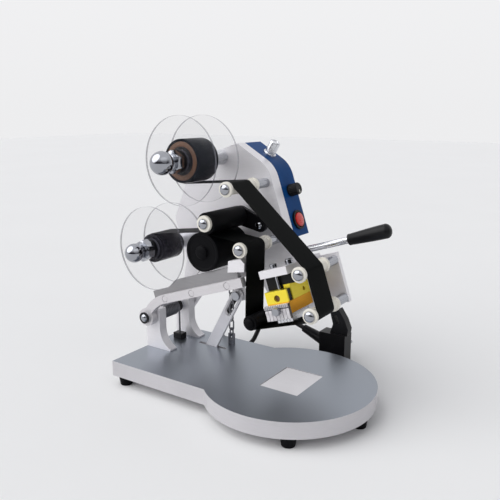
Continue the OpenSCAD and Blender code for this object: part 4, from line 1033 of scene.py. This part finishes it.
class StageBuilder(Operator):
    """Camera at the photograph's angle, pale floor, soft lamps and a pale surround"""

    bl_idname = "coder.stage"
    bl_label = "Stage"

    def execute(self, context):
        scene = context.scene
        scene.view_settings.view_transform = "Standard"
        az, el = math.radians(34.010), math.radians(12.722)
        back = Vector((math.sin(az) * math.cos(el), -math.cos(az) * math.cos(el), math.sin(el)))
        lens = bpy.data.cameras.new("photo_lens")
        lens.sensor_width, lens.lens = 36.0, 44.57
        lens.clip_start, lens.clip_end = 0.01, 60.0
        camera = placed("photo_camera", lens)
        camera.location = row([316.6, -546.3, 288.1 + BASE_TOP])
        camera.rotation_mode = "QUATERNION"
        camera.rotation_quaternion = (-back).to_track_quat("-Z", "Y")
        scene.camera = camera
        for name, place, wide, strength in (
            ("key_lamp", (-0.62, -0.72, 0.85), 70.0, 2.1),
            ("fill_lamp", (0.9, -0.3, 0.6), 60.0, 0.2),
        ):
            lamp = bpy.data.lights.new(name, "SUN")
            lamp.energy, lamp.angle = strength, math.radians(wide)
            made = placed(name, lamp)
            made.location = place
            made.rotation_mode = "QUATERNION"
            made.rotation_quaternion = (-made.location).to_track_quat("-Z", "Y")
        self.floor()
        self.surround(scene)
        return {"FINISHED"}

    def floor(self):
        """A pale square table, much larger than the view."""
        edge = 6.0
        mesh = bpy.data.meshes.new("table_top")
        corners = [(-edge, -edge, 0), (edge, -edge, 0), (edge, edge, 0), (-edge, edge, 0)]
        mesh.from_pydata(corners, [], [(0, 1, 2, 3)])
        made = placed("table_top", mesh)
        look = Finish("pale_floor", Roughness=0.7)
        cloud = look.noise(look.here(), 3.0)
        look.set(Base_Color=look.blend(cloud, (0.86, 0.86, 0.86, 1), (0.89, 0.89, 0.89, 1)))
        mesh.materials.append(look.material)

    def surround(self, scene):
        """A pale room. Polished metal also sees its darker side, low down and in front of the machine."""
        world = bpy.data.worlds.new("pale_room")
        scene.world = world
        world.use_nodes = True
        room = Tree(world.node_tree)
        way = room.node("TexCoord", {}, {}, "Generated")
        height = room.node("SeparateXYZ", {}, {0: way}, 2)
        ahead = room.node("VectorMath", {"operation": "DOT_PRODUCT"}, {0: way, 1: (0.70, -0.71, 0.0)}, "Value")
        pale = room.blend(height.ramp(0.0, 0.8), (0.85, 0.85, 0.86, 1), (0.97, 0.97, 0.99, 1))
        dim = ahead.ramp(-0.1, 0.5) * (1.0 - height.ramp(0.25, 0.65))
        rays = ("Camera", "Glossy", "Transmission")
        direct, shiny, clear = (room.node("LightPath", {}, {}, "Is " + ray + " Ray") for ray in rays)
        seen = room.blend(dim * shiny, pale, (0.06, 0.06, 0.07, 1))
        shown = (direct + shiny + clear).ramp(0.0, 1.0)
        light = room.node("Background", {}, {"Color": (0.95, 0.96, 1.0, 1), "Strength": 0.45})
        view = room.node("Background", {}, {"Color": seen, "Strength": 1.0})
        mixed = room.node("MixShader", {}, {0: shown, 1: light, 2: view})
        room.feed(room.tree.nodes["World Output"].inputs["Surface"], mixed)


BUILDERS = (
    StageBuilder, LeadBuilder, BaseBuilder, LinkBuilder, HeadBuilder, CoverBuilder, HandleBuilder, ReelBuilder,
    RollerBuilder, RibbonBuilder, PrintHeadBuilder,
)


class CoderPanel(Panel):
    """Buttons for the pieces and the values that they read"""

    bl_idname = "VIEW3D_PT_coder"
    bl_label = "Ribbon coding machine"
    bl_space_type = "VIEW_3D"
    bl_region_type = "UI"
    bl_category = "Coder"

    def draw(self, context):
        looks = context.scene.coder_looks
        for key in looks.bl_rna.properties.keys():
            if key not in ("rna_type", "name"):
                self.layout.prop(looks, key)
        for builder in BUILDERS:
            self.layout.operator(builder.bl_idname)


CLASSES = (CoderLooks, *BUILDERS, CoderPanel)


def register():
    for cls in CLASSES:
        bpy.utils.register_class(cls)
    bpy.types.Scene.coder_looks = PointerProperty(type=CoderLooks)


def unregister():
    del bpy.types.Scene.coder_looks
    for cls in reversed(CLASSES):
        bpy.utils.unregister_class(cls)


def main():
    register()
    for builder in BUILDERS:
        group, name = builder.bl_idname.split(".")
        getattr(getattr(bpy.ops, group), name)()
    bpy.context.view_layer.update()


if __name__ == "__main__":
    main()
